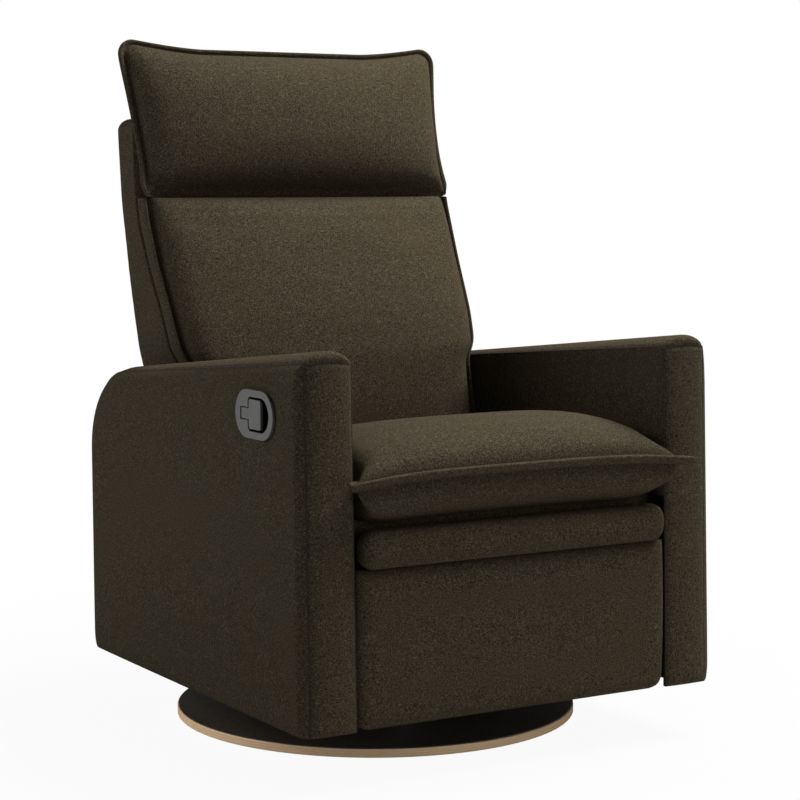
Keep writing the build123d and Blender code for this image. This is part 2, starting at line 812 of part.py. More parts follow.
# Lumbar cushion: crowned in front, as wide as the shell, drawn in at the top under the headrest
with BuildPart() as lumbar_cushion:
    for height, crown, side_depth in lumbar_form:
        half = shell_high_half
        seam_y = along(shell_front_line, height)
        rear_y = seam_y + lumbar_rear_tuck
        front_y = seam_y - side_depth
        with BuildSketch(Plane.XY.offset(height)):
            with BuildLine():
                Polyline((half, front_y), (half, rear_y), (-half, rear_y), (-half, front_y))
                ThreePointArc((-half, front_y), (0, front_y - crown), (half, front_y))
            make_face()
    loft()
    with BuildSketch(Plane.YZ):
        with BuildLine():
            seam = [(y - soft_gap, z) for y, z in shell_front_line]
            Polyline(*seam, (cushion_front_y, seam[-1][1]), (cushion_front_y, seam[0][1]), close=True)
        make_face()
    extrude(amount=shell_span, both=True, mode=Mode.INTERSECT)
    with BuildSketch(Plane.XZ):
        add(shell_front(0))
    extrude(amount=shell_span, both=True, mode=Mode.INTERSECT)
write(lumbar_cushion.part, "lumbar_cushion")


def headrest_outline(drawn_in):
    """Front outline of the headrest: wider at its raised top corners, with a dip between them."""
    low = headrest_low_half_width - drawn_in
    high = headrest_high_half_width - drawn_in
    top = headrest_height - drawn_in
    with BuildSketch() as outline:
        with BuildLine():
            Polyline((-high, top), (-low, drawn_in), (low, drawn_in), (high, top))
            ThreePointArc((high, top), (0, top - headrest_dip), (-high, top))
        make_face()
    return outline.sketch_local


headrest_plane = Plane(
    origin=(0, *headrest_base),
    x_dir=(1, 0, 0),
    z_dir=(0, -cos(radians(headrest_lean)), sin(radians(headrest_lean))),
)
with BuildPart() as headrest_cushion:
    for ahead, drawn_in in headrest_form:
        with BuildSketch(headrest_plane.offset(ahead)):
            add(headrest_outline(drawn_in))
    loft()
    with BuildSketch(headrest_plane.offset(-headrest_flange / 2)) as headrest_edge:
        add(headrest_outline(0))
        fillet(headrest_edge.vertices(), headrest_flange_corner)
    extrude(amount=headrest_flange)
write(headrest_cushion.part, "headrest_cushion")

# Rear panel between the arms, under the back
with BuildPart() as rear_panel:
    with BuildSketch(Plane.XZ.offset(-rear_panel_y - rear_panel_thickness)):
        with Locations((0, rear_panel_low_z)):
            Rectangle(
                2 * (frame_inner_x - soft_gap),
                rear_panel_high_z - rear_panel_low_z,
                align=(Align.CENTER, Align.MIN),
            )
    extrude(amount=rear_panel_thickness)
write(rear_panel.part, "rear_panel")

# Release handle: a cup with a rim, a hinge pin and a T-shaped paddle
with BuildPart() as handle_bezel:
    with BuildSketch(Plane.YZ.offset(bezel_face_x)):
        with Locations((handle_y, handle_z)):
            SlotOverall(bezel_length, bezel_height)
    extrude(amount=rim_thickness)
    with BuildSketch(Plane.YZ.offset(bezel_face_x)):
        with Locations((handle_y, handle_z)):
            SlotOverall(cup_length, cup_height)
    extrude(amount=cup_depth)
    with BuildSketch(Plane.YZ.offset(bezel_face_x + rim_thickness)):
        with Locations((handle_y, handle_z)):
            SlotOverall(cup_length - 2 * cup_wall, cup_height - 2 * cup_wall)
    extrude(amount=cup_depth - cup_wall - rim_thickness, mode=Mode.SUBTRACT)
    with BuildSketch(Plane.YZ.offset(bezel_face_x)) as finger_opening:
        with Locations((opening_centre_y, handle_z)):
            Circle(finger_opening_radius)
            Rectangle(
                opening_back_y - opening_centre_y,
                2 * finger_opening_radius,
                align=(Align.MIN, Align.CENTER),
            )
        fillet(finger_opening.vertices().group_by(Axis.X)[-1], finger_opening_corner)
        with Locations((stem_slot_end_y, handle_z)):
            Rectangle(
                stem_slot_end_y - opening_back_y,
                paddle_stem_height + 2 * stem_side_gap,
                align=(Align.MAX, Align.CENTER),
            )
    extrude(amount=rim_thickness, mode=Mode.SUBTRACT)
    with BuildSketch(Plane.XY.offset(handle_z - handle_pin_length / 2)):
        with Locations((handle_pin_x, handle_pin_y)):
            Circle(handle_pin_radius)
    extrude(amount=handle_pin_length, mode=Mode.SUBTRACT)
write(handle_bezel.part, "handle_bezel")

with BuildPart() as handle_pin:
    with BuildSketch(Plane.XY.offset(handle_z - handle_pin_length / 2)):
        with Locations((handle_pin_x, handle_pin_y)):
            Circle(handle_pin_radius)
    extrude(amount=handle_pin_length)
write(handle_pin.part, "handle_pin")

with BuildPart() as release_paddle:
    with BuildSketch(Plane.YZ.offset(bezel_face_x)) as paddle_face:
        with Locations((bar_front_y, handle_z)):
            Rectangle(paddle_bar_width, paddle_bar_height, align=(Align.MIN, Align.CENTER))
        fillet(paddle_face.vertices(), paddle_bar_corner)
        with Locations((stem_end_y, handle_z)):
            Rectangle(paddle_stem_length, paddle_stem_height, align=(Align.MAX, Align.CENTER))
    extrude(amount=paddle_thickness)
    with BuildSketch(Plane.XY.offset(handle_z - paddle_stem_height / 2)):
        with Locations((handle_pin_x, handle_pin_y)):
            Circle(handle_barrel_radius)
    extrude(amount=paddle_stem_height)
    with BuildSketch(Plane.XY.offset(handle_z - paddle_stem_height / 2)):
        with Locations((handle_pin_x, handle_pin_y)):
            Circle(handle_pin_radius + running_gap)
    extrude(amount=paddle_stem_height, mode=Mode.SUBTRACT)
write(release_paddle.part, "release_paddle")

# Release cable: from under the cup down inside the arm to the mechanism plate
with BuildPart() as release_cable:
    with BuildLine() as cable_route:
        FilletPolyline(
            (bezel_face_x + cable_start_depth, handle_y, cup_low_z - cable_tip_gap),
            (cable_drop_x, handle_y, cable_drop_z),
            (cable_drop_x, *cable_turn),
            (-side_plate_x - side_plate_thickness - cable_tip_gap, *cable_end),
            radius=cable_bend,
        )
    with BuildSketch(Plane(origin=cable_route.line @ 0, z_dir=cable_route.line % 0)):
        Circle(cable_radius)
    sweep()
write(release_cable.part, "release_cable")
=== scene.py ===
import json
import math

import bmesh
import bpy
import numpy as np
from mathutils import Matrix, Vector


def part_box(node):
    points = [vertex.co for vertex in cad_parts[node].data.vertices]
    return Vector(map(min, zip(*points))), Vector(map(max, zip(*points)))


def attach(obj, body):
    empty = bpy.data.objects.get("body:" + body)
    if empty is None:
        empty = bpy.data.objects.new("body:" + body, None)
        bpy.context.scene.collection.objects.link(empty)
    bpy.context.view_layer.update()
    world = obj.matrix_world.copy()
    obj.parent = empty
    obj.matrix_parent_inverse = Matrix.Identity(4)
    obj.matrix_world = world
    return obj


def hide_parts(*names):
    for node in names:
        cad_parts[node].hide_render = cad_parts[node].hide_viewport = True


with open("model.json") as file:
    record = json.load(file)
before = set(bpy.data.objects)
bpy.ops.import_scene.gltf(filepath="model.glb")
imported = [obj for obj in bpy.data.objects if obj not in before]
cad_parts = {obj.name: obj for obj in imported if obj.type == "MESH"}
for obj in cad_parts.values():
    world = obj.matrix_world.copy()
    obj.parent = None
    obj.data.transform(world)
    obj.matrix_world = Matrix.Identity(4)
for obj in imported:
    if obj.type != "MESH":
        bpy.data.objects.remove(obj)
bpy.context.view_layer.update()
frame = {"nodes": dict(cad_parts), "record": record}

# The upholstered look of a swivel gliding recliner, in metres, in the frame of the CAD model.
# The chair faces -Y, and the arm with the release handle is at -X.

# Steps in which a rounded corner is drawn, radius of a seam's thread and steps in which a cover fills out
CORNER_STEPS = 17
THREAD_RADIUS = 0.0008
COVER_STEPS = 20

# Arm seam as (depth along Y, height) points of the side outline, and the radii of its two corners
ARM_SEAM = ((-0.415, 0.0847), (-0.3995, 0.610), (0.330, 0.543), (0.3195, 0.0847))
ARM_CORNERS = (0.004, 0.132)

# Bands over the arms: how far they rise, arch over the front corner, dip at the cross seam and end
ARM_TOP_CROWN = 0.015
ARM_FRONT_CROWN = 0.008
ARM_ARCH = 0.004
CROSS_SEAM_DIP = 0.45
BAND_DEPTH = 0.006
BAND_END = 0.012
BAND_END_RISE = 0.0006

# Side panels of the arms: depth behind the seam, fullness by height and width of the tight edge by depth
PANEL_DEPTH = 0.009
PANEL_PROUD = 0.001
PANEL_FULLNESS = ((0.15, 1.14), (0.56, 0.92))
PANEL_EDGE = ((-0.36, 0.012), (-0.20, 0.022))
PANEL_FOOT_SWELL = 0.030
PANEL_TOP_SWELL = 0.065

# Opening for the release handle: overlap of the bezel, and how near a point is drawn onto the edge
HANDLE_LIP = 0.005
HANDLE_DRAW = 0.0048

# Backrest: side lines as (height, depth along Y), half widths by height and rounded corners
SHELL_FRONT = (
    (0.388, 0.108), (0.565, 0.168), (0.640, 0.191), (0.720, 0.235), (0.800, 0.271), (0.860, 0.281),
    (0.963, 0.289),
)
SHELL_REAR = (
    (0.388, 0.232), (0.470, 0.264), (0.556, 0.3005), (0.680, 0.3275), (0.750, 0.3400), (0.829, 0.3570),
    (0.943, 0.3695), (0.963, 0.3695),
)
BACK_HALF = (
    (0.388, 0.265), (0.558, 0.265), (0.584, 0.2825), (0.630, 0.2870), (0.720, 0.2915), (0.800, 0.2935),
    (0.963, 0.2910),
)
BACK_REAR_HALF = ((0.388, 0.265), (0.492, 0.265), (0.528, 0.2835), (0.720, 0.2890), (0.963, 0.2900))
BACK_HALF_BLUR = 0.012
SHELL_CORNER = 0.022
SHELL_TOP_CORNER = 0.020

# Lumbar cushion: front of its welt and crown by height, and how boxy its sides are by height
WELT_FRONT = (
    (0.388, 0.080), (0.450, 0.098), (0.565, 0.1235), (0.640, 0.155), (0.720, 0.196), (0.800, 0.230),
    (0.834, 0.243),
)
LUMBAR_CROWN = (
    (0.392, 0.004), (0.450, 0.020), (0.582, 0.048), (0.700, 0.056), (0.780, 0.054), (0.806, 0.051),
    (0.822, 0.043), (0.830, 0.028), (0.8345, 0.008),
)
LUMBAR_BOXY = ((0.58, 0.46), (0.80, 0.34))
LUMBAR_CREASE = 0.009
LUMBAR_SUNK = 0.014
LUMBAR_EXTRA = 0.008

# Strip beside the lumbar cushion: steps outwards from its crease, and the share of the strip's depth there
LUMBAR_STRIP = (
    (0.001, 0.36), (0.0025, 0.26), (0.0045, 0.15), (0.0075, 0.13), (0.0088, 0.20), (0.0090, 0.60),
    (0.0082, 0.93), (0.005, 0.97),
)

# Seat cushion: shares of its crown and its belly by distance behind the front seam
SEAT_CROWN = (
    (0.0, 0.0), (0.002, 0.17), (0.005, 0.31), (0.010, 0.43), (0.020, 0.57), (0.035, 0.71), (0.060, 0.86),
    (0.098, 0.97), (0.135, 1.0), (0.235, 0.78), (0.335, 0.52), (0.435, 0.28), (0.5, 0.14),
)
SEAT_BELLY = (
    (0.0, 0.0), (0.001, 0.22), (0.003, 0.40), (0.007, 0.55), (0.014, 0.68), (0.026, 0.82), (0.045, 0.94),
    (0.070, 0.98), (0.100, 0.90), (0.45, 0.86), (0.50, 0.60),
)
SEAT_BLUR = 0.0008

# Seat cushion: full height and depth of those, its bed, its seam, and how it lies to the solid
SEAT_CROWN_HEIGHT = 0.064
SEAT_BELLY_DEPTH = 0.0715
SEAT_BED = 0.3755
SEAT_HALF = 0.263
SEAT_SEAM_Z = 0.436
SEAT_SEAM_BOW = 0.012
SEAT_SEAM_GAP = 0.0015
SEAT_CORNER_DEPTH = 0.030
SEAT_CORNER = 0.020
SEAT_FORWARD = 0.003
SEAT_PROUD = 0.001

# Welt of the seat: its width, and its section as (share of the width, rise) from the seam to the tip
SEAT_WELT = 0.018
SEAT_WELT_SECTION = (
    (0.08, 0.0020), (0.22, 0.0052), (0.60, 0.0070), (0.90, 0.0068), (1.0, 0.0042), (0.94, 0.0014),
    (0.84, 0.0),
)

# Rise of the footrest's and the rear panel's padding as (rise, reach from the edge) steps, and their seams
FOOTREST_RISE = ((0.011, 0.020), (0.004, 0.13))
FOOTREST_SEAM = 0.012
REAR_PANEL_RISE = ((0.006, 0.016), (0.003, 0.12))
REAR_PANEL_SEAM = 0.008

# Footrest: how far the panel's cover hangs below its board, corners of the panel and ends of the roll
FOOTREST_DROP = 0.005
FOOTREST_CORNER = 0.022
FOOTREST_BOW = 0.003
ROLL_END = 0.020
ROLL_POINTS = 40

# Headrest pillow on its own leaning plane: half width by distance up the plane
HEADREST_BASE = (0.244, 0.8346)
HEADREST_LEAN = math.radians(16)
HEADREST_HEIGHT = 0.274
HEADREST_HALF = (
    (0.0, 0.298), (0.02, 0.2945), (0.065, 0.2910), (0.128, 0.2935), (0.175, 0.2975), (0.243, 0.3056),
    (0.274, 0.3072),
)
HEADREST_SETBACK = 0.007
HEADREST_DIP = 0.0184
HEADREST_DIP_HALF = 0.150
HEADREST_CORNER = 0.026
HEADREST_FRONT = 0.066
HEADREST_REAR = 0.005
HEADREST_TUCK = 0.016

# Welt of the headrest: its width, and its section as (share of the width, depth)
HEADREST_WELT = 0.0100
HEADREST_WELT_SECTION = (
    (0.15, -0.001), (0.40, 0.003), (0.80, 0.0034), (1.0, 0.0012), (1.0, -0.003), (0.8, -0.0048),
    (0.2, -0.003),
)

# Frame pieces that are wrapped in the cloth where they show
CLOTH_COVERED_RAILS = (
    "seat_front_rail", "seat_rear_rail", "seat_side_rails",
    "arm_frame_left", "arm_frame_right", "footrest_board",
)

# Camera, lights as (name, place, size, power) and the studio
CAMERA_EYE = (-1.8067, -3.0704, 0.8656)
CAMERA_AIM = (0.0453, -0.0025, 0.5054)
CAMERA_LENS = 99.5
LIGHTS = (
    ("key_light", (2.0, -0.5, 3.9), 2.2, 360.0),
    ("front_light", (0.9, -4.5, 0.7), 2.4, 52.0),
    ("side_light", (-3.2, 1.9, 1.6), 2.0, 78.0),
)
LIGHT_AIM = (0.0, 0.0, 0.5)
WHITE = (1.0, 1.0, 1.0, 1.0)
FLOOR_GREY = (0.42, 0.42, 0.42, 1.0)
FLOOR_SPAN = 30.0


class Signal:
    """Output of a shader node, which takes part in ordinary sums."""

    def __init__(self, graph, socket):
        self.graph = graph
        self.socket = socket

    def sum(self, operation, first, second=0.0):
        return self.graph.add("ShaderNodeMath", {"operation": operation}, {0: first, 1: second})

    def __add__(self, other):
        return self.sum("ADD", self, other)

    def __radd__(self, other):
        return self.sum("ADD", other, self)

    def __mul__(self, other):
        return self.sum("MULTIPLY", self, other)

    def __rmul__(self, other):
        return self.sum("MULTIPLY", other, self)

    def wave(self):
        return self.sum("SINE", self)

    def size(self):
        return self.sum("ABSOLUTE", self)

    def ramp(self, low, high):
        inputs = {"Value": self, "From Min": low, "From Max": high}
        return self.graph.add("ShaderNodeMapRange", {"interpolation_type": "SMOOTHSTEP"}, inputs)


class Graph:
    """Node tree of a material or of the world."""

    def __init__(self, tree):
        self.tree = tree

    def feed(self, socket, value):
        if isinstance(value, Signal):
            self.tree.links.new(value.socket, socket)
        else:
            socket.default_value = value

    def add(self, kind, settings, inputs, output=0):
        node = self.tree.nodes.new(kind)
        for name, value in settings.items():
            setattr(node, name, value)
        for name, value in inputs.items():
            self.feed(node.inputs[name], value)
        return Signal(self, node.outputs[output])

    def place(self):
        return self.add("ShaderNodeTexCoord", {}, {}, "Object")

    def show(self, output, lit, seen, fade=1.0):
        """Ends the tree: camera rays meet the seen shader, and light that bounces meets the lit one."""
        share = self.add("ShaderNodeLightPath", {}, {}, "Is Camera Ray") * fade
        both = self.add("ShaderNodeMixShader", {}, {0: share, 1: lit, 2: seen})
        self.feed(self.tree.nodes.new(output).inputs["Surface"], both)


class Finish(Graph):
    """A procedural material of the chair."""

    def __init__(self, name, slot, **constants):
        self.slot = slot
        self.material = bpy.data.materials.new(name)
        self.material.use_nodes = True
        super().__init__(self.material.node_tree)
        self.shader = self.tree.nodes["Principled BSDF"]
        self.paint(**constants)

    def split(self, vector):
        node = self.tree.nodes.new("ShaderNodeSeparateXYZ")
        self.feed(node.inputs[0], vector)
        return [Signal(self, socket) for socket in node.outputs]

    def stretched(self, vector, factors):
        return self.add("ShaderNodeVectorMath", {"operation": "MULTIPLY"}, {0: vector, 1: factors})

    def noise(self, vector, scale, detail=2.0, roughness=0.5):
        inputs = {"Vector": vector, "Scale": scale, "Detail": detail, "Roughness": roughness}
        return self.add("ShaderNodeTexNoise", {}, inputs, "Fac")

    def mix(self, share, first, second):
        return self.add("ShaderNodeMix", {"data_type": "RGBA"}, {0: share, 6: first, 7: second}, 2)

    def bump(self, height, strength, depth):
        return self.add("ShaderNodeBump", {}, {"Height": height, "Strength": strength, "Distance": depth})

    def paint(self, **inputs):
        for socket, value in inputs.items():
            self.feed(self.shader.inputs[socket.replace("_", " ")], value)
        return self


def colour(red, green, blue):
    """Colour from the usual 0 to 255 steps, as the linear values that shaders use."""
    steps = [value / 255 for value in (red, green, blue)]
    return (*[v / 12.92 if v <= 0.04045 else ((v + 0.055) / 1.055) ** 2.4 for v in steps], 1.0)


def wool_cloth():
    """Dark olive wool-like cloth: a fine weave with lighter and darker fibres."""
    cloth = Finish(
        "wool_cloth",
        "upholstery",
        Sheen_Weight=0.03,
        Sheen_Roughness=0.5,
        Sheen_Tint=colour(170, 150, 115),
        Specular_IOR_Level=0.06,
    )
    place = cloth.place()
    normal = cloth.add("ShaderNodeTexCoord", {}, {}, "Normal")
    facing_x, facing_y, facing_z = [part.size() for part in cloth.split(normal)]
    thread_pitch = 0.0021
    waves = [(part * (2 * math.pi / thread_pitch)).wave() for part in cloth.split(place)]
    over_x, over_y, over_z = waves
    weave = over_y * over_z * facing_x + over_x * over_z * facing_y + over_x * over_y * facing_z
    fibre = cloth.noise(place, 520.0, 3.0, 0.65)
    tuft = cloth.noise(place, 260.0, 2.0)
    cloud = cloth.noise(place, 9.0, 2.0)
    shade = cloth.mix(fibre.ramp(0.32, 0.70), colour(35, 31, 22), colour(78, 70, 54))
    shade = cloth.mix(tuft.ramp(0.54, 0.74) * 0.36, shade, colour(104, 94, 73))
    shade = cloth.mix(tuft.ramp(0.46, 0.28) * 0.42, shade, colour(24, 20, 14))
    shade = cloth.mix(cloud.ramp(0.35, 0.75) * 0.16, shade, colour(64, 50, 31))
    relief = weave * 0.5 + fibre * 1.6 + tuft * 0.8
    return cloth.paint(
        Base_Color=shade,
        Roughness=0.86 + fibre * 0.12,
        Normal=cloth.bump(relief, 0.65, 0.0009),
    )


def seam_thread():
    """Dark thread and shadow at the bottom of a seam."""
    thread = Finish("seam_thread", "upholstery")
    twist = thread.noise(thread.place(), 900.0)
    shade = thread.mix(twist, colour(16, 14, 11), colour(40, 36, 28))
    return thread.paint(Base_Color=shade, Roughness=0.9 + twist * 0.05)


def base_plywood():
    """Clear lacquered plywood: thin veneers on the edge, with a grain that runs round it."""
    wood = Finish("base_plywood", "plywood", Coat_Roughness=0.3)
    place = wood.place()
    height = wood.split(place)[2]
    veneer_pitch = 0.0034
    veneer = (height * (2 * math.pi / veneer_pitch)).wave()
    grain = wood.noise(wood.stretched(place, (1.0, 1.0, 14.0)), 38.0, 4.0, 0.6)
    fleck = wood.noise(wood.stretched(place, (1.0, 1.0, 5.0)), 160.0, 2.0)
    shade = wood.mix(grain.ramp(0.3, 0.7), colour(255, 224, 182), colour(252, 212, 166))
    shade = wood.mix(veneer.ramp(0.2, 0.9) * 0.35, shade, colour(208, 160, 112))
    shade = wood.mix(fleck.ramp(0.6, 0.75) * 0.4, shade, colour(196, 148, 102))
    return wood.paint(
        Base_Color=shade,
        Roughness=0.42 + grain * 0.16,
        Coat_Weight=0.12 + fleck * 0.1,
        Normal=wood.bump(grain + veneer * 0.2, 0.12, 0.0006),
    )


def worn_metal(name, slot, dark, light, roughness, metallic):
    """Sheet, tube or turned metal with faint brushing and handling marks."""
    metal = Finish(name, slot, Metallic=metallic)
    place = metal.place()
    brushing = metal.noise(metal.stretched(place, (1.0, 1.0, 9.0)), 120.0, 3.0)
    marks = metal.noise(place, 26.0, 4.0, 0.7)
    shade = metal.mix(brushing.ramp(0.3, 0.7), colour(*dark), colour(*light))
    shade = metal.mix(marks.ramp(0.58, 0.74) * 0.3, shade, colour(*light))
    return metal.paint(
        Base_Color=shade,
        Roughness=roughness + marks * 0.22,
        Normal=metal.bump(brushing, 0.1, 0.0004),
    )


def handle_plastic():
    """Matt grey moulded plastic with a fine spark texture, and painted near-black shade inside the cup."""
    plastic = Finish("handle_plastic", "handle_plastic")
    place = plastic.place()
    # The mask below picks out the cup behind the bezel's rim, where shade is painted in near black.
    rim_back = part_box("handle_bezel")[0][0] + 0.0042
    inside = plastic.split(place)[0].ramp(rim_back - 0.0012, rim_back)
    spark = plastic.noise(place, 2400.0, 2.0)
    rub = plastic.noise(place, 60.0, 3.0)
    shade = plastic.mix(spark.ramp(0.3, 0.7), colour(76, 76, 75), colour(89, 89, 87))
    shade = plastic.mix(rub.ramp(0.55, 0.8) * 0.4, shade, colour(108, 108, 106))
    # Painted shade: the recess of the cup is mixed to near black.
    shade = plastic.mix(inside * 0.94, shade, colour(8, 8, 8))
    return plastic.paint(
        Base_Color=shade,
        Roughness=0.48 + rub * 0.16,
        Normal=plastic.bump(spark, 0.25, 0.0002),
    )


def frame_timber():
    """Raw sawn timber of the hidden frames."""
    timber = Finish("frame_timber", "frame_wood")
    place = timber.place()
    grain = timber.noise(timber.stretched(place, (9.0, 1.0, 9.0)), 16.0, 4.0, 0.6)
    rings = timber.noise(timber.stretched(place, (3.0, 0.4, 3.0)), 40.0, 2.0)
    shade = timber.mix(grain.ramp(0.3, 0.7), colour(196, 164, 122), colour(166, 130, 90))
    shade = timber.mix(rings.ramp(0.55, 0.75) * 0.4, shade, colour(140, 104, 70))
    return timber.paint(
        Base_Color=shade,
        Roughness=0.7 + grain * 0.2,
        Normal=timber.bump(grain, 0.3, 0.0008),
    )


def pressed_felt():
    """Black felt under the base."""
    felt = Finish("pressed_felt", "felt", Sheen_Weight=0.2)
    hair = felt.noise(felt.stretched(felt.place(), (1.0, 1.0, 0.3)), 800.0, 4.0, 0.8)
    shade = felt.mix(hair, colour(20, 20, 20), colour(62, 60, 58))
    return felt.paint(Base_Color=shade, Roughness=0.9 + hair * 0.1, Normal=felt.bump(hair, 0.6, 0.0008))


def read_off(line, at):
    """Value of a line of (place, value) points."""
    places, values = np.array(line).T
    return np.interp(at, places, values)


def eased(line, at, blur=0.018):
    """Value of a line of (place, value) points, with its corners eased."""
    return np.mean([read_off(line, at + shift) for shift in np.linspace(-blur, blur, 7)], axis=0)


def nearest(line, corner):
    """Index of the point of a line that lies nearest to a corner."""
    return int(np.linalg.norm(line - np.asarray(corner), axis=1).argmin())


def spaced(points, count, crowding=0.0):
    """The line through the points as evenly spaced points, or with points crowded towards its ends."""
    points = np.asarray(points, float)
    lengths = np.linalg.norm(np.diff(points, axis=0), axis=1)
    along = np.concatenate(([0.0], np.cumsum(lengths)))
    share = np.linspace(0.0, 1.0, count)
    places = along[-1] * (share - crowding * np.sin(2 * math.pi * share) / (2 * math.pi))
    return np.column_stack([np.interp(places, along, column) for column in points.T])


def rounded(points, radii):
    """The line through the points with its corners rounded, one radius for each corner."""
    points = [np.asarray(point, float) for point in points]
    line = [points[0]]
    for before, corner, after, radius in zip(points, points[1:], points[2:], radii):
        into = (corner - before) / np.linalg.norm(corner - before)
        out = (after - corner) / np.linalg.norm(after - corner)
        turn = math.acos(float(np.clip(into @ out, -1.0, 1.0)))
        start = corner - into * radius * math.tan(turn / 2)
        inward = out - into * (into @ out)
        inward = inward / np.linalg.norm(inward)
        for angle in np.linspace(0.0, turn, CORNER_STEPS):
            sweep = into * math.sin(angle) + inward * (1.0 - math.cos(angle))
            line.append(start + radius * sweep)
    return np.array(line + [points[-1]])


def filled(low, high, first, last):
    """Grid of points between four lines that meet at their ends."""
    across = np.linspace(0.0, 1.0, len(low))[None, :, None]
    up = np.linspace(0.0, 1.0, len(first))[:, None, None]
    grid = (1 - up) * low[None] + up * high[None] + (1 - across) * first[:, None] + across * last[:, None]
    first_side = (1 - up) * low[0] + up * high[0]
    last_side = (1 - up) * low[-1] + up * high[-1]
    return grid - ((1 - across) * first_side + across * last_side)


def rim_of(grid):
    """The border of a grid as one loop."""
    return np.concatenate((grid[0, :-1], grid[:-1, -1], grid[-1, :0:-1], grid[:0:-1, 0]))


def reach_to(grid, line):
    """Distance from each point of a grid to the nearest point of a line."""
    gaps = grid[:, :, None, :] - line[None, None, :, :]
    return np.sqrt((gaps ** 2).sum(axis=3).min(axis=2))


def swell(distance, reach):
    """Rise of a stuffed edge: 0 at the seam, 1 from the given reach on."""
    share = np.clip(distance / reach, 0.0, 1.0)
    return np.sqrt(1.0 - (1.0 - share) ** 2)


def plump(distance, share, near, far):
    """Rise of a stuffed form: a share of it within the near reach and the rest within the far one."""
    return share * swell(distance, near) + (1 - share) * swell(distance, far)


def padded_rise(edge, steps):
    """Rise of a padded panel by the distance from its edge, as the sum of its steps."""
    return sum(rise * swell(edge, reach) for rise, reach in steps)


def squared(values, power):
    """A wave from -1 to 1, made squarer by a power below 1."""
    return np.sign(values) * np.abs(values) ** power


def new_piece(name, points, faces):
    """Mesh object with outward normals and smooth shading."""
    mesh = bpy.data.meshes.new(name)
    mesh.from_pydata([tuple(map(float, point)) for point in points], [], faces)
    shell = bmesh.new()
    shell.from_mesh(mesh)
    bmesh.ops.recalc_face_normals(shell, faces=shell.faces)
    shell.to_mesh(mesh)
    shell.free()
    mesh.polygons.foreach_set("use_smooth", [True] * len(mesh.polygons))
    return linked(name, mesh)


def linked(name, data):
    """New object in the scene that shows the given mesh, curve, lamp or camera."""
    thing = bpy.data.objects.new(name, data)
    bpy.context.scene.collection.objects.link(thing)
    return thing


def stuffed_piece(name, front, rims, back, hole=None):
    """Closed cover of a front grid, loops round its edge and a back grid, and the points its seams hold."""
    rows, columns = front.shape[:2]
    count = rows * columns
    order = np.arange(count).reshape(rows, columns)
    points = np.concatenate((front.reshape(-1, 3), back.reshape(-1, 3), *rims))
    faces = []
    for row in range(rows - 1):
        for column in range(columns - 1):
            near = order[row, column : column + 2]
            far = order[row + 1, column : column + 2]
            ring = [int(index) for index in (*near, *far[::-1])]
            if hole is not None and all(hole.flat[index] for index in ring):
                continue
            faces.append(ring)
            faces.append([index + count for index in reversed(ring)])
    loops = [rim_of(order)]
    first = 2 * count
    for rim in rims:
        loops.append(np.arange(first, first + len(rim)))
        first += len(rim)
    loops.append(rim_of(order) + count)
    for near, far in zip(loops, loops[1:]):
        for here, there, beyond, beside in zip(near, np.roll(near, -1), np.roll(far, -1), far):
            faces.append([int(here), int(there), int(beyond), int(beside)])
    held = sorted({int(index) for loop in loops for index in loop})
    return new_piece(name, points, faces), held


def lofted_piece(name, loops):
    """Closed form through a row of loops, with both ends filled."""
    count = len(loops[0])
    faces = []
    for level in range(len(loops) - 1):
        low = level * count
        for spot in range(count):
            after = (spot + 1) % count
            faces.append([low + spot, low + after, low + count + after, low + count + spot])
    last = (len(loops) - 1) * count
    faces.append(list(range(count)))
    faces.append([last + spot for spot in range(count)])
    return new_piece(name, np.concatenate(loops), faces)


def point_places(mesh):
    """Places of a mesh's points as rows."""
    places = np.empty(len(mesh.vertices) * 3)
    mesh.vertices.foreach_get("co", places)
    return places.reshape(-1, 3)


def evened(moved, mesh, held, passes=45):
    """Movement of a mesh's points with its small folds averaged out and the held points at rest."""
    ends = np.array([edge.vertices[:] for edge in mesh.edges])
    beside = np.bincount(ends.ravel(), minlength=len(moved))[:, None]
    for _ in range(passes):
        drawn = np.zeros_like(moved)
        np.add.at(drawn, ends[:, 0], moved[ends[:, 1]])
        np.add.at(drawn, ends[:, 1], moved[ends[:, 0]])
        moved = 0.4 * moved + 0.6 * drawn / beside
        moved[held] = 0.0
    return moved


def puffed(piece, held, pressure, limit):
    """Lets the cover fill out as cloth under the pressure of its stuffing, with its seams held."""
    scene = bpy.context.scene
    seams = piece.vertex_groups.new(name="seams")
    seams.add(held, 1.0, "REPLACE")
    cover = piece.modifiers.new("cover", "CLOTH")
    cover.settings.vertex_group_mass = "seams"
    cover.settings.mass = 0.35
    cover.settings.quality = 6
    cover.settings.tension_stiffness = 12.0
    cover.settings.compression_stiffness = 12.0
    cover.settings.shear_stiffness = 6.0
    cover.settings.bending_stiffness = 1.5
    cover.settings.use_pressure = True
    cover.settings.uniform_pressure_force = pressure
    cover.settings.effector_weights.gravity = 0.0
    cover.collision_settings.use_collision = False
    for step in range(1, COVER_STEPS + 1):
        scene.frame_set(step)
    posed = piece.evaluated_get(bpy.context.evaluated_depsgraph_get())
    start = point_places(piece.data)
    moved = evened(point_places(posed.data) - start, piece.data, held)
    far = np.linalg.norm(moved, axis=1, keepdims=True)
    moved *= limit * np.tanh(far / limit) / np.maximum(far, 1e-9)
    piece.modifiers.remove(cover)
    piece.vertex_groups.remove(seams)
    piece.data.vertices.foreach_set("co", (start + moved).ravel())
    piece.data.update()
    scene.frame_set(1)


def dress(piece, finish, body, *nodes, fill=None, finer=0):
    """Gives a piece its finish and body, and hides the CAD nodes it stands for."""
    piece.data.materials.append(finish.material)
    if finer:
        smoothing = piece.modifiers.new("finer", "SUBSURF")
        smoothing.levels = finer
        smoothing.render_levels = finer
    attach(piece, body)
    if nodes:
        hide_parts(*nodes)


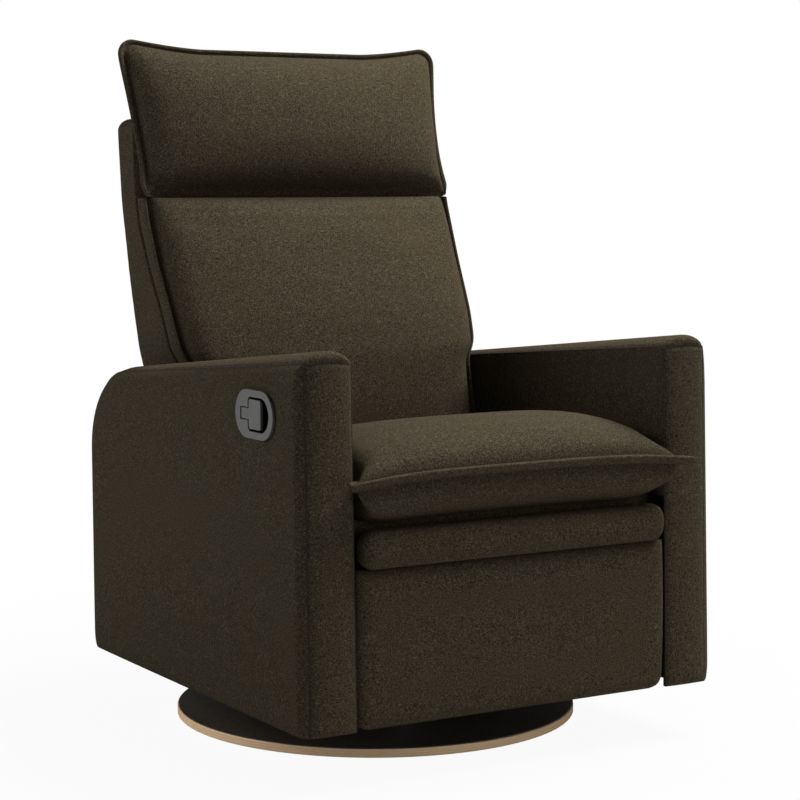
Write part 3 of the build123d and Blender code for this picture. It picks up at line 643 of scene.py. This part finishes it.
def seam_line(name, points, body, finish):
    """Thread along a seam."""
    curve = bpy.data.curves.new(name, "CURVE")
    curve.dimensions = "3D"
    curve.bevel_depth = THREAD_RADIUS
    curve.bevel_resolution = 2
    spline = curve.splines.new("POLY")
    spline.points.add(len(points) - 1)
    for spot, point in zip(spline.points, points):
        spot.co = (*map(float, point), 1.0)
    dress(linked(name, curve), finish, body)


def at_height(low, high, height):
    """Point at a height on the line through two (depth, height) points."""
    return low + (high - low) * (height - low[1]) / (high[1] - low[1])


def arm_panel_lines(low_z, across=110, up=78, crowding=0.75):
    """Bottom, top, front and rear lines of an arm's side panel above a height."""
    front_low, front_top, rear_top, rear_low = [np.array(point) for point in ARM_SEAM]
    front_foot = at_height(front_low, front_top, low_z)
    rear_foot = at_height(rear_low, rear_top, low_z)
    line = rounded((front_foot, front_top, rear_top, rear_foot), ARM_CORNERS)
    front_end = nearest(line, front_top)
    rear_end = nearest(line, rear_top)
    front = spaced(line[: front_end + 1], up, crowding)
    top = spaced(line[front_end : rear_end + 1], across, crowding)
    rear = spaced(line[rear_end:][::-1], up, crowding)
    bottom = spaced((front_foot, rear_foot), across, crowding)
    return bottom, top, front, rear


def handle_opening(grid):
    """Moves the nearest grid points onto the edge of the handle's opening and marks those inside it."""
    low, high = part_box("handle_bezel")
    centre = np.array(((low[1] + high[1]) / 2, (low[2] + high[2]) / 2))
    half_height = (high[2] - low[2]) / 2 - HANDLE_LIP
    half_straight = (high[1] - low[1]) / 2 - HANDLE_LIP - half_height
    offset = grid - centre
    along = np.clip(offset[:, :, 0], -half_straight, half_straight)
    spine = np.stack((along, np.zeros(grid.shape[:2])), axis=2)
    spoke = offset - spine
    length = np.maximum(np.linalg.norm(spoke, axis=2), 1e-9)
    near = np.abs(length - half_height) < HANDLE_DRAW
    grid[near] = (centre + spine + spoke * (half_height / length)[:, :, None])[near]
    return near | (length < half_height)


def side_panel(name, node, side, seam_x, crown, low_z, cloth):
    """One large padded side panel of an arm. A crown below 0 swells towards the seat."""
    bottom, top, front_line, rear_line = arm_panel_lines(low_z)
    grid = filled(bottom, top, front_line, rear_line)
    hole = handle_opening(grid) if side < 0 and crown > 0 else None
    depth, height = grid[:, :, 0], grid[:, :, 1]
    to_seam = reach_to(grid, spaced(np.concatenate((front_line, top, rear_line[::-1])), 1200))
    to_top = reach_to(grid, spaced(top, 800))
    edge = 1 - np.clip(1 - to_seam / read_off(PANEL_EDGE, depth), 0.0, 1.0) ** 2
    rise = crown * read_off(PANEL_FULLNESS, height) * (0.84 * edge + 0.16 * swell(to_seam, 0.20))
    ahead = np.clip((0.10 - depth) / 0.30, 0.0, 1.0)
    foot_share = 0.60 + 0.40 * swell(height - low_z, PANEL_FOOT_SWELL)
    top_share = 1 - 0.60 * ahead * (1 - swell(to_top, PANEL_TOP_SWELL))
    rise *= foot_share * top_share
    rise[-1] = rise[:, 0] = rise[:, -1] = 0.0
    front = np.dstack((side * (seam_x + rise), grid))
    back_x = side * (seam_x - math.copysign(PANEL_DEPTH, crown))
    back = np.dstack((np.full(grid.shape[:2], back_x), grid))
    panel = stuffed_piece(name, front, [], back, hole)[0]
    dress(panel, cloth, "chair", node, fill=0.8)


def band_edges():
    """Inner and outer X of the bands over the arm at +X."""
    low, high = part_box("arm_top_band_right")
    return low[0], high[0]


def band_profile():
    """Places across a band, from -1 to 1, and the share of its crown at each."""
    across = np.linspace(-1.0, 1.0, 21)
    return across, (1.0 - np.abs(across) ** 2.4) ** 0.72


def band_piece(name, node, side, path, crowns, lifts, cloth):
    """Padded band that wraps over an arm, with the given crown and lift of its middle along its path."""
    inner_x, outer_x = band_edges()
    middle, half = (inner_x + outer_x) / 2, (outer_x - inner_x) / 2
    along = np.gradient(path, axis=0)
    along /= np.linalg.norm(along, axis=1, keepdims=True)
    outward = np.column_stack((-along[:, 1], along[:, 0]))
    across, profile = band_profile()
    places = np.concatenate((across, (1.0, -1.0)))
    loops = []
    for spot, normal, crown, lift in zip(path, outward, crowns, lifts):
        rises = np.concatenate((crown * profile, (-BAND_DEPTH, -BAND_DEPTH)))
        section = spot + rises[:, None] * normal
        section[:, 1] += lift * (1.0 - places ** 2)
        loops.append(np.column_stack((side * (middle + half * places), section)))
    dress(lofted_piece(name, loops), cloth, "chair", node, fill=0.8)


def band_end(distance):
    """Share of a band's crown by the distance from its end."""
    return swell(distance + BAND_END_RISE, BAND_END)


def cross_dip(distance, width):
    """Share of a band's crown by the distance from the cross seam, where it is drawn in."""
    return 1 - CROSS_SEAM_DIP * np.exp(-((distance / width) ** 2))


def corner_arch(distance, reach):
    """Lift of a band's middle by the distance from the cross seam."""
    return ARM_ARCH * np.clip(1 - distance / reach, 0.0, 1.0) ** 2


def arm_front(name, side, line, cross, cloth):
    """Band up the front of an arm, from its foot to the cross seam."""
    path = spaced(line[: cross + 1], 90, 0.92)
    from_foot = np.linalg.norm(path - path[0], axis=1)
    from_cross = np.linalg.norm(path - path[-1], axis=1)
    crowns = ARM_FRONT_CROWN * band_end(from_foot) * cross_dip(from_cross, 0.003)
    lifts = corner_arch(from_cross, 0.040)
    band_piece(f"arm_front_{name}", f"arm_front_band_{name}", side, path, crowns, lifts, cloth)


def arm_top(name, side, line, cross, cloth):
    """Band from the cross seam along the top of an arm, over its rounded corner and down the rear."""
    bend = line[cross : cross + CORNER_STEPS + 1]
    run = spaced(line[cross + CORNER_STEPS :], 150)
    path = np.concatenate((bend, run[1:]))
    gone = np.concatenate(([0.0], np.cumsum(np.linalg.norm(np.diff(path, axis=0), axis=1))))
    rise = ARM_FRONT_CROWN + (ARM_TOP_CROWN - ARM_FRONT_CROWN) * swell(gone, 0.018)
    behind = np.clip((path[:, 0] - 0.12) / 0.12, 0.0, 1.0)
    flatter = 1 - 0.85 * behind ** 1.5
    crowns = rise * flatter * cross_dip(gone, 0.0025) * band_end(gone[-1] - gone)
    lifts = corner_arch(gone, 0.060)
    band_piece(f"arm_top_{name}", f"arm_top_band_{name}", side, path, crowns, lifts, cloth)


def arm_seams(name, side, line, cross, thread):
    """Threads along both edges of an arm's bands and in the cross seam between them."""
    inner_x, outer_x = band_edges()
    whole = spaced(line, 240)
    for edge, x in (("outer", outer_x), ("inner", inner_x)):
        points = np.column_stack((np.full(len(whole), side * x), whole))
        seam_line(f"arm_seam_{edge}_{name}", points, "chair", thread)
    across, profile = band_profile()
    x = side * ((inner_x + outer_x) / 2 + (outer_x - inner_x) / 2 * across)
    depth = line[cross][0] - (1 - CROSS_SEAM_DIP) * ARM_FRONT_CROWN * profile
    height = line[cross][1] + ARM_ARCH * (1 - across ** 2)
    seam_line(f"arm_seam_cross_{name}", np.column_stack((x, depth, height)), "chair", thread)


def build_arm(side, cloth, thread):
    """Four padded panels of one arm and the threads in their seams."""
    name = "left" if side < 0 else "right"
    inner_x, outer_x = band_edges()
    outer_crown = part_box("arm_outer_pad_right")[1][0] - outer_x + PANEL_PROUD
    outer_low_z = ARM_SEAM[0][1]
    side_panel(f"arm_side_{name}", f"arm_outer_pad_{name}", side, outer_x, outer_crown, outer_low_z, cloth)
    pad_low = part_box("arm_inner_pad_right")[0]
    inner_crown = pad_low[0] - inner_x
    side_panel(f"arm_inside_{name}", f"arm_inner_pad_{name}", side, inner_x, inner_crown, pad_low[2], cloth)
    line = rounded(ARM_SEAM, ARM_CORNERS)
    cross = nearest(line, ARM_SEAM[1]) - CORNER_STEPS // 2
    arm_front(name, side, line, cross, cloth)
    arm_top(name, side, line, cross, cloth)
    arm_seams(name, side, line, cross, thread)


def seat_welt(rim, rim_z, front_y, corner_half):
    """Loops of the seat's welt, over its tip and back under it to the seam."""
    ahead = np.clip((front_y + SEAT_CORNER_DEPTH - rim[:, 1]) / SEAT_CORNER_DEPTH, 0.0, 1.0) ** 0.7
    turn_in = 0.004
    flare = corner_half - SEAT_HALF + turn_in
    at_corner = np.clip((np.abs(rim[:, 0]) - SEAT_HALF + turn_in) / flare, 0.0, 1.0)
    at_front = np.clip((front_y + turn_in - rim[:, 1]) / turn_in, 0.0, 1.0)
    outward = np.column_stack((np.sign(rim[:, 0]) * at_corner, -at_front)) * (SEAT_WELT * ahead)[:, None]
    above = [(share, SEAT_SEAM_GAP + rise * ahead) for share, rise in SEAT_WELT_SECTION]
    below = [
        (0.78 * share - 0.10, -SEAT_SEAM_GAP - 0.55 * rise * ahead)
        for share, rise in reversed(SEAT_WELT_SECTION[:-1])
    ]
    return [np.column_stack((rim + outward * share, rim_z + rise)) for share, rise in above + below]


def build_seat(cloth):
    """Seat cushion: a stuffed pillow with a flat welt that stands out at the front and the corners."""
    low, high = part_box("seat_cushion")
    front_y = low[1] - SEAT_FORWARD + SEAT_WELT
    rear_y = high[1] - SEAT_FORWARD
    corner_half = high[0] + SEAT_PROUD - SEAT_WELT
    corner = (-SEAT_HALF, front_y + SEAT_CORNER_DEPTH)
    flank = rounded(((-corner_half, front_y), corner, (-SEAT_HALF, rear_y)), (SEAT_CORNER,))
    # The rows lie closer together towards the front seam.
    rows = np.unique(np.round(399 * np.linspace(0, 1, 88) ** 1.6).astype(int))
    left = spaced(flank, 400)[rows]
    right = left * (-1, 1)
    front_line = spaced(((-corner_half, front_y), (corner_half, front_y)), 90)
    rear_line = spaced(((-SEAT_HALF, rear_y), (SEAT_HALF, rear_y)), 90)
    grid = filled(front_line, rear_line, left, right)
    to_sides = np.minimum(reach_to(grid, spaced(left, 400)), reach_to(grid, spaced(right, 400)))
    setback = grid[:, :, 1] - front_y
    bow = 1 - np.clip(np.abs(grid[:, :, 0]) / corner_half, 0, 1) ** 4
    seam_z = SEAT_SEAM_Z + SEAT_SEAM_BOW * bow
    crown = SEAT_CROWN_HEIGHT * eased(SEAT_CROWN, setback, SEAT_BLUR) * plump(to_sides, 0.48, 0.03, 0.21)
    belly = SEAT_BELLY_DEPTH * eased(SEAT_BELLY, setback, SEAT_BLUR) * plump(to_sides, 0.58, 0.02, 0.07)
    for swelling in (crown, belly):
        swelling[0] = swelling[-1] = swelling[:, 0] = swelling[:, -1] = 0.0
    belly = np.minimum(belly, seam_z - SEAT_BED)
    top = np.dstack((grid, seam_z + SEAT_SEAM_GAP + crown))
    under = np.dstack((grid, seam_z - SEAT_SEAM_GAP - belly))
    # Below the welt the cloth falls back first, and then it swells forward.
    bulge = np.sin(np.clip(belly / 0.070, 0.0, 1.0) * math.pi)
    recess = 0.007 * np.exp(-((belly / 0.010) ** 2)) - 0.004 * bulge
    under[:, :, 1] += recess * np.exp(-((setback / 0.030) ** 2))
    rims = seat_welt(rim_of(grid), rim_of(seam_z[:, :, None])[:, 0], front_y, corner_half)
    cushion, held = stuffed_piece("seat_pillow", top, rims, under)
    puffed(cushion, held, 3.0, 0.008)
    dress(cushion, cloth, "chair", "seat_cushion", fill=0.75, finer=1)


def build_footrest_panel(cloth):
    """Front panel of the closed footrest."""
    low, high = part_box("footrest_panel")
    half = high[0]
    foot = low[2] - FOOTREST_DROP
    corners = ((-half, high[2]), (-half, foot), (half, foot), (half, high[2]))
    line = rounded(corners, (FOOTREST_CORNER, FOOTREST_CORNER))
    left_end = nearest(line, corners[1])
    right_end = nearest(line, corners[2])
    bottom = spaced(line[left_end : right_end + 1], 96)
    left = spaced(line[: left_end + 1][::-1], 46)
    right = spaced(line[right_end:], 46)
    top = spaced((corners[0], corners[3]), 96)
    grid = filled(bottom, top, left, right)
    edge = reach_to(grid, rim_of(grid))
    climb = np.clip((grid[:, :, 1] - foot) / (high[2] - foot), 0.0, 1.0)
    grid[:, :, 0] *= 1.0 + FOOTREST_BOW / half * np.sin(math.pi * climb)
    rise = padded_rise(edge, FOOTREST_RISE)
    front = np.dstack((grid[:, :, 0], low[1] + FOOTREST_SEAM - rise, grid[:, :, 1]))
    back = np.dstack((grid[:, :, 0], np.full(grid.shape[:2], high[1] - 0.001), grid[:, :, 1]))
    panel = stuffed_piece("footrest_front", front, [], back)[0]
    dress(panel, cloth, "footrest", "footrest_panel", fill=0.75)


def build_footrest_roll(cloth):
    """Padded roll above the footrest's panel."""
    low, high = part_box("footrest_roll")
    middle_y, middle_z = (low[1] + high[1]) / 2, (low[2] + high[2]) / 2
    half_depth, half_height = (high[1] - low[1]) / 2, (high[2] - low[2]) / 2
    half = high[0] - 0.005
    turn = np.linspace(0.0, 2 * math.pi, ROLL_POINTS + 1)[:-1]
    shape_y = half_depth * squared(np.cos(turn), 0.78)
    shape_z = half_height * squared(np.sin(turn), 0.72)
    rounding = ROLL_END * (1 - np.cos(np.linspace(0.12, math.pi / 2, 9)))
    run = np.linspace(ROLL_END, half * 2 - ROLL_END, 110)[1:-1]
    loops = []
    for station in np.concatenate((rounding, run, 2 * half - rounding[::-1])):
        to_end = min(station, 2 * half - station)
        full = 0.30 + 0.70 * float(swell(to_end, ROLL_END))
        x = np.full(ROLL_POINTS, station - half)
        loops.append(np.column_stack((x, middle_y + full * shape_y, middle_z + full * shape_z)))
    roll = lofted_piece("footrest_bolster", loops)
    dress(roll, cloth, "footrest", "footrest_roll", fill=0.8, finer=1)


def build_back_cover(cloth):
    """Upholstered shell: two sides, a rear and a rounded top behind the cushions."""
    shoulder_z = SHELL_FRONT[-1][0] - SHELL_TOP_CORNER
    rounding = SHELL_TOP_CORNER * np.sin(np.linspace(0.15, math.pi / 2, 9))
    levels = np.concatenate((np.linspace(SHELL_FRONT[0][0], shoulder_z, 64), shoulder_z + rounding))
    loops = []
    for level in levels:
        over = max(0.0, (level - shoulder_z) / SHELL_TOP_CORNER)
        inset = SHELL_TOP_CORNER * (1 - math.sqrt(max(0.0, 1 - over ** 2)))
        half = eased(BACK_HALF, level, BACK_HALF_BLUR) - 0.8 * inset
        rear_half = eased(BACK_REAR_HALF, level, BACK_HALF_BLUR) - 0.8 * inset
        ahead = eased(SHELL_FRONT, level) + 0.001
        behind = eased(SHELL_REAR, level) - inset
        corners = ((-half, ahead), (-rear_half, behind), (rear_half, behind), (half, ahead))
        plan = spaced(rounded(corners, (SHELL_CORNER, SHELL_CORNER)), 130)
        loops.append(np.column_stack((plan, np.full(len(plan), level))))
    cover = lofted_piece("back_cover", loops)
    dress(cover, cloth, "backrest", "back_shell", fill=0.8)


def build_lumbar(cloth):
    """Lumbar cushion: a long pillow between two flat strips."""
    low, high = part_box("lumbar_cushion")
    heights = low[2] + (high[2] - low[2]) * (1 - (1 - np.linspace(0.0, 1.0, 84)) ** 1.3)
    half = eased(BACK_HALF, heights, BACK_HALF_BLUR) - LUMBAR_CREASE
    welt_y = eased(WELT_FRONT, heights)
    seam_y = eased(SHELL_FRONT, heights)
    crown = eased(LUMBAR_CROWN, heights, 0.003) + LUMBAR_EXTRA
    across = np.linspace(-1.0, 1.0, 90)
    grid_x = half[:, None] * across[None, :]
    grid_z = np.repeat(heights[:, None], len(across), axis=1)
    to_side = half[:, None] - np.abs(grid_x)
    boxy = read_off(LUMBAR_BOXY, heights)[:, None]
    rise = crown[:, None] * plump(to_side, boxy, 0.036, 0.27)
    front = np.dstack((grid_x, welt_y[:, None] + LUMBAR_SUNK - rise, grid_z))
    back = np.dstack((grid_x, np.repeat((seam_y - 0.001)[:, None], len(across), axis=1), grid_z))
    rim = rim_of(front)
    at_side = np.abs(np.abs(rim[:, 0]) - np.interp(rim[:, 2], heights, half)) < 1e-6
    sideways = np.sign(rim[:, 0]) * at_side
    strip_front = np.interp(rim[:, 2], heights, welt_y)
    strip_depth = np.interp(rim[:, 2], heights, seam_y) - strip_front
    rims = []
    for out, share in LUMBAR_STRIP:
        x = rim[:, 0] + out * sideways
        rims.append(np.column_stack((x, strip_front + share * strip_depth, rim[:, 2])))
    cushion, held = stuffed_piece("lumbar_pillow", front, rims, back)
    puffed(cushion, held, 2.5, 0.008)
    dress(cushion, cloth, "backrest", "lumbar_cushion", fill=0.7, finer=1)


def headrest_outline(drawn_in):
    """Bottom, top, left and right lines of the pillow on its plane, drawn in by a welt's width."""
    top = HEADREST_HEIGHT - drawn_in
    rises = np.linspace(0.0, top, 60)
    sides = eased(HEADREST_HALF, rises, 0.02) - drawn_in
    half = sides[-1]
    x = np.linspace(-half, half, 241)
    outer = np.clip((np.abs(x) - HEADREST_DIP_HALF) / (half - HEADREST_DIP_HALF), 0.0, 1.0)
    edge = np.column_stack((x, top - HEADREST_DIP * (1 - outer ** 1.5)))
    corner = HEADREST_CORNER - 0.6 * drawn_in
    kept = edge[np.abs(edge[:, 0]) < half - 1.3 * corner]
    flank = np.column_stack((sides, rises))[rises < top - 1.3 * corner]
    bend = rounded((flank[-1], edge[-1], kept[-1]), (corner,))
    right_flank = np.concatenate((flank, bend[1:-1]))
    line = np.concatenate((right_flank * (-1, 1), kept, right_flank[::-1]))
    left_end = nearest(line, edge[0])
    right_end = nearest(line, edge[-1])
    left = spaced(line[: left_end + 1], 56)
    top_line = spaced(line[left_end : right_end + 1], 104)
    right = spaced(line[right_end:][::-1], 56)
    bottom = spaced((line[0], line[-1]), 104)
    return bottom, top_line, left, right


def on_headrest(plan, depth):
    """Points at places on the headrest's leaning plane and depths in front of it."""
    lean_up = np.array((0.0, math.sin(HEADREST_LEAN), math.cos(HEADREST_LEAN)))
    lean_out = np.array((0.0, -math.cos(HEADREST_LEAN), math.sin(HEADREST_LEAN)))
    bowed = HEADREST_SETBACK * np.sin(np.clip(plan[..., 1] / HEADREST_HEIGHT, 0.0, 1.0) * math.pi)
    depth = np.broadcast_to(depth, plan.shape[:-1]) - bowed
    sideways = plan[..., :1] * np.array((1.0, 0.0, 0.0))
    base = np.array((0.0, *HEADREST_BASE))
    return base + sideways + plan[..., 1:] * lean_up + depth[..., None] * lean_out


def build_headrest(cloth):
    """Headrest pillow with a flat welt, raised corners and a full lower edge that hangs over the back."""
    bottom, top, left, right = headrest_outline(HEADREST_WELT)
    grid = filled(bottom, top, left, right)
    to_sides = np.minimum(reach_to(grid, left), reach_to(grid, right))
    to_top = reach_to(grid, top)
    to_bottom = grid[:, :, 1]
    climb = to_bottom / (to_bottom + to_top)
    arch = (1.0 - np.abs(2.0 * climb - 1.0) ** 2.2) ** np.interp(climb, (0.3, 0.6), (0.74, 0.60))
    full = arch * plump(to_sides, 0.25, 0.04, 0.28)
    tucked = np.exp(-((to_bottom / 0.020) ** 2)) * swell(to_sides, 0.10)
    front_plan = grid.copy()
    front_plan[:, :, 1] += 0.014 * tucked
    front = on_headrest(front_plan, HEADREST_FRONT * full - HEADREST_TUCK * tucked)
    hollow = swell(to_sides, 0.05) * swell(to_top, 0.06) * swell(to_bottom, 0.05)
    back = on_headrest(grid, -0.002 - HEADREST_REAR * hollow - HEADREST_TUCK * tucked)
    outer = rim_of(filled(*headrest_outline(0.0)))
    inner = rim_of(grid)
    foot = np.clip(inner[:, 1] / 0.02, 0.0, 1.0)
    rim_tuck = HEADREST_TUCK * rim_of(tucked[:, :, None])[:, 0]
    rims = []
    for share, depth in HEADREST_WELT_SECTION:
        plan = inner + (outer - inner) * (share * foot)[:, None]
        rims.append(on_headrest(plan, depth - rim_tuck))
    pillow, held = stuffed_piece("headrest_pillow", front, rims, back)
    puffed(pillow, held, 3.0, 0.010)
    dress(pillow, cloth, "backrest", "headrest_cushion", fill=0.7, finer=1)


def build_rear_panel(cloth):
    """Upholstered panel that closes the back of the seat box."""
    low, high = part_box("rear_panel")
    half = high[0]
    corners = ((-half, high[2]), (-half, low[2]), (half, low[2]), (half, high[2]))
    bottom = spaced((corners[1], corners[2]), 70)
    top = spaced((corners[0], corners[3]), 70)
    left = spaced((corners[1], corners[0]), 40)
    right = spaced((corners[2], corners[3]), 40)
    grid = filled(bottom, top, left, right)
    edge = reach_to(grid, rim_of(grid))
    rise = padded_rise(edge, REAR_PANEL_RISE)
    front = np.dstack((grid[:, :, 0], high[1] - REAR_PANEL_SEAM + rise, grid[:, :, 1]))
    back = np.dstack((grid[:, :, 0], np.full(grid.shape[:2], low[1]), grid[:, :, 1]))
    panel = stuffed_piece("rear_cover", front, [], back)[0]
    dress(panel, cloth, "chair", "rear_panel", fill=0.8)


def finish_hard_parts(cloth):
    """Procedural finishes on the CAD nodes that stay in view."""
    finishes = (
        base_plywood(),
        worn_metal("base_enamel", "base_top", (58, 50, 41), (76, 66, 54), 0.45, 0.0),
        worn_metal("black_steel", "mechanism_steel", (26, 26, 26), (44, 43, 42), 0.4, 0.3),
        worn_metal("zinc_steel", "bright_steel", (150, 150, 152), (190, 190, 188), 0.28, 1.0),
        frame_timber(),
        handle_plastic(),
        worn_metal("cable_sheath", "cable_sheath", (18, 18, 18), (36, 36, 36), 0.5, 0.0),
        pressed_felt(),
    )
    by_slot = {finish.slot: finish for finish in finishes}
    for entry in frame["record"]["subparts"]:
        finish = by_slot.get(entry["material_slot"])
        if finish is None:
            continue
        if entry["node"] in CLOTH_COVERED_RAILS:
            finish = cloth
        part = frame["nodes"][entry["node"]]
        part.data.materials.clear()
        part.data.materials.append(finish.material)
    for node in ("handle_bezel", "release_paddle"):
        edges = frame["nodes"][node].modifiers.new("moulded_edges", "BEVEL")
        edges.width = 0.0009
        edges.segments = 3
        edges.limit_method = "ANGLE"
        edges.angle_limit = math.radians(40)


def build_floor():
    """Pale floor that shows as white and keeps the chair's shadow near it."""
    signs = ((-1, -1), (1, -1), (1, 1), (-1, 1))
    mesh = bpy.data.meshes.new("floor")
    mesh.from_pydata([(x * FLOOR_SPAN, y * FLOOR_SPAN, 0.0) for x, y in signs], [], [(0, 1, 2, 3)])
    floor = linked("floor", mesh)
    floor.location.z = -0.0004
    paper = bpy.data.materials.new("studio_paper")
    paper.use_nodes = True
    graph = Graph(paper.node_tree)
    graph.tree.nodes.clear()
    matt = graph.add("ShaderNodeBsdfDiffuse", {}, {"Color": FLOOR_GREY})
    glow = graph.add("ShaderNodeEmission", {}, {"Strength": 1.0})
    far = graph.add("ShaderNodeVectorMath", {"operation": "LENGTH"}, {0: graph.place()}, "Value")
    reach = {"Value": far, "From Min": 0.5, "From Max": 1.5, "To Min": 0.94, "To Max": 1.0}
    fade = graph.add("ShaderNodeMapRange", {}, reach)
    graph.show("ShaderNodeOutputMaterial", matt, glow, fade)
    mesh.materials.append(paper)


def build_studio():
    """White surroundings that give only a little light, and three soft lamps."""
    world = bpy.data.worlds.new("studio")
    bpy.context.scene.world = world
    world.use_nodes = True
    graph = Graph(world.node_tree)
    graph.tree.nodes.clear()
    lit = graph.add("ShaderNodeBackground", {}, {"Color": WHITE, "Strength": 0.12})
    seen = graph.add("ShaderNodeBackground", {}, {"Color": WHITE, "Strength": 1.0})
    graph.show("ShaderNodeOutputWorld", lit, seen)
    for name, spot, size, power in LIGHTS:
        lamp = bpy.data.lights.new(name, "AREA")
        lamp.size = size
        lamp.energy = power
        aimed(linked(name, lamp), spot, LIGHT_AIM)


def build_camera():
    """Camera of the photograph."""
    camera = bpy.data.cameras.new("camera")
    camera.lens = CAMERA_LENS
    camera.sensor_width = 36.0
    bpy.context.scene.camera = aimed(linked("camera", camera), CAMERA_EYE, CAMERA_AIM)


def aimed(holder, spot, target):
    """Puts a lamp or camera at a spot, with its view axis towards a target."""
    holder.location = spot
    holder.rotation_euler = (Vector(target) - Vector(spot)).to_track_quat("-Z", "Y").to_euler()
    return holder


wool = wool_cloth()
finish_hard_parts(wool)
dark_thread = seam_thread()
for arm_side in (-1, 1):
    build_arm(arm_side, wool, dark_thread)
build_seat(wool)
build_footrest_panel(wool)
build_footrest_roll(wool)
build_back_cover(wool)
build_lumbar(wool)
build_headrest(wool)
build_rear_panel(wool)
bpy.context.scene.view_settings.view_transform = "Standard"
build_floor()
build_studio()
build_camera()
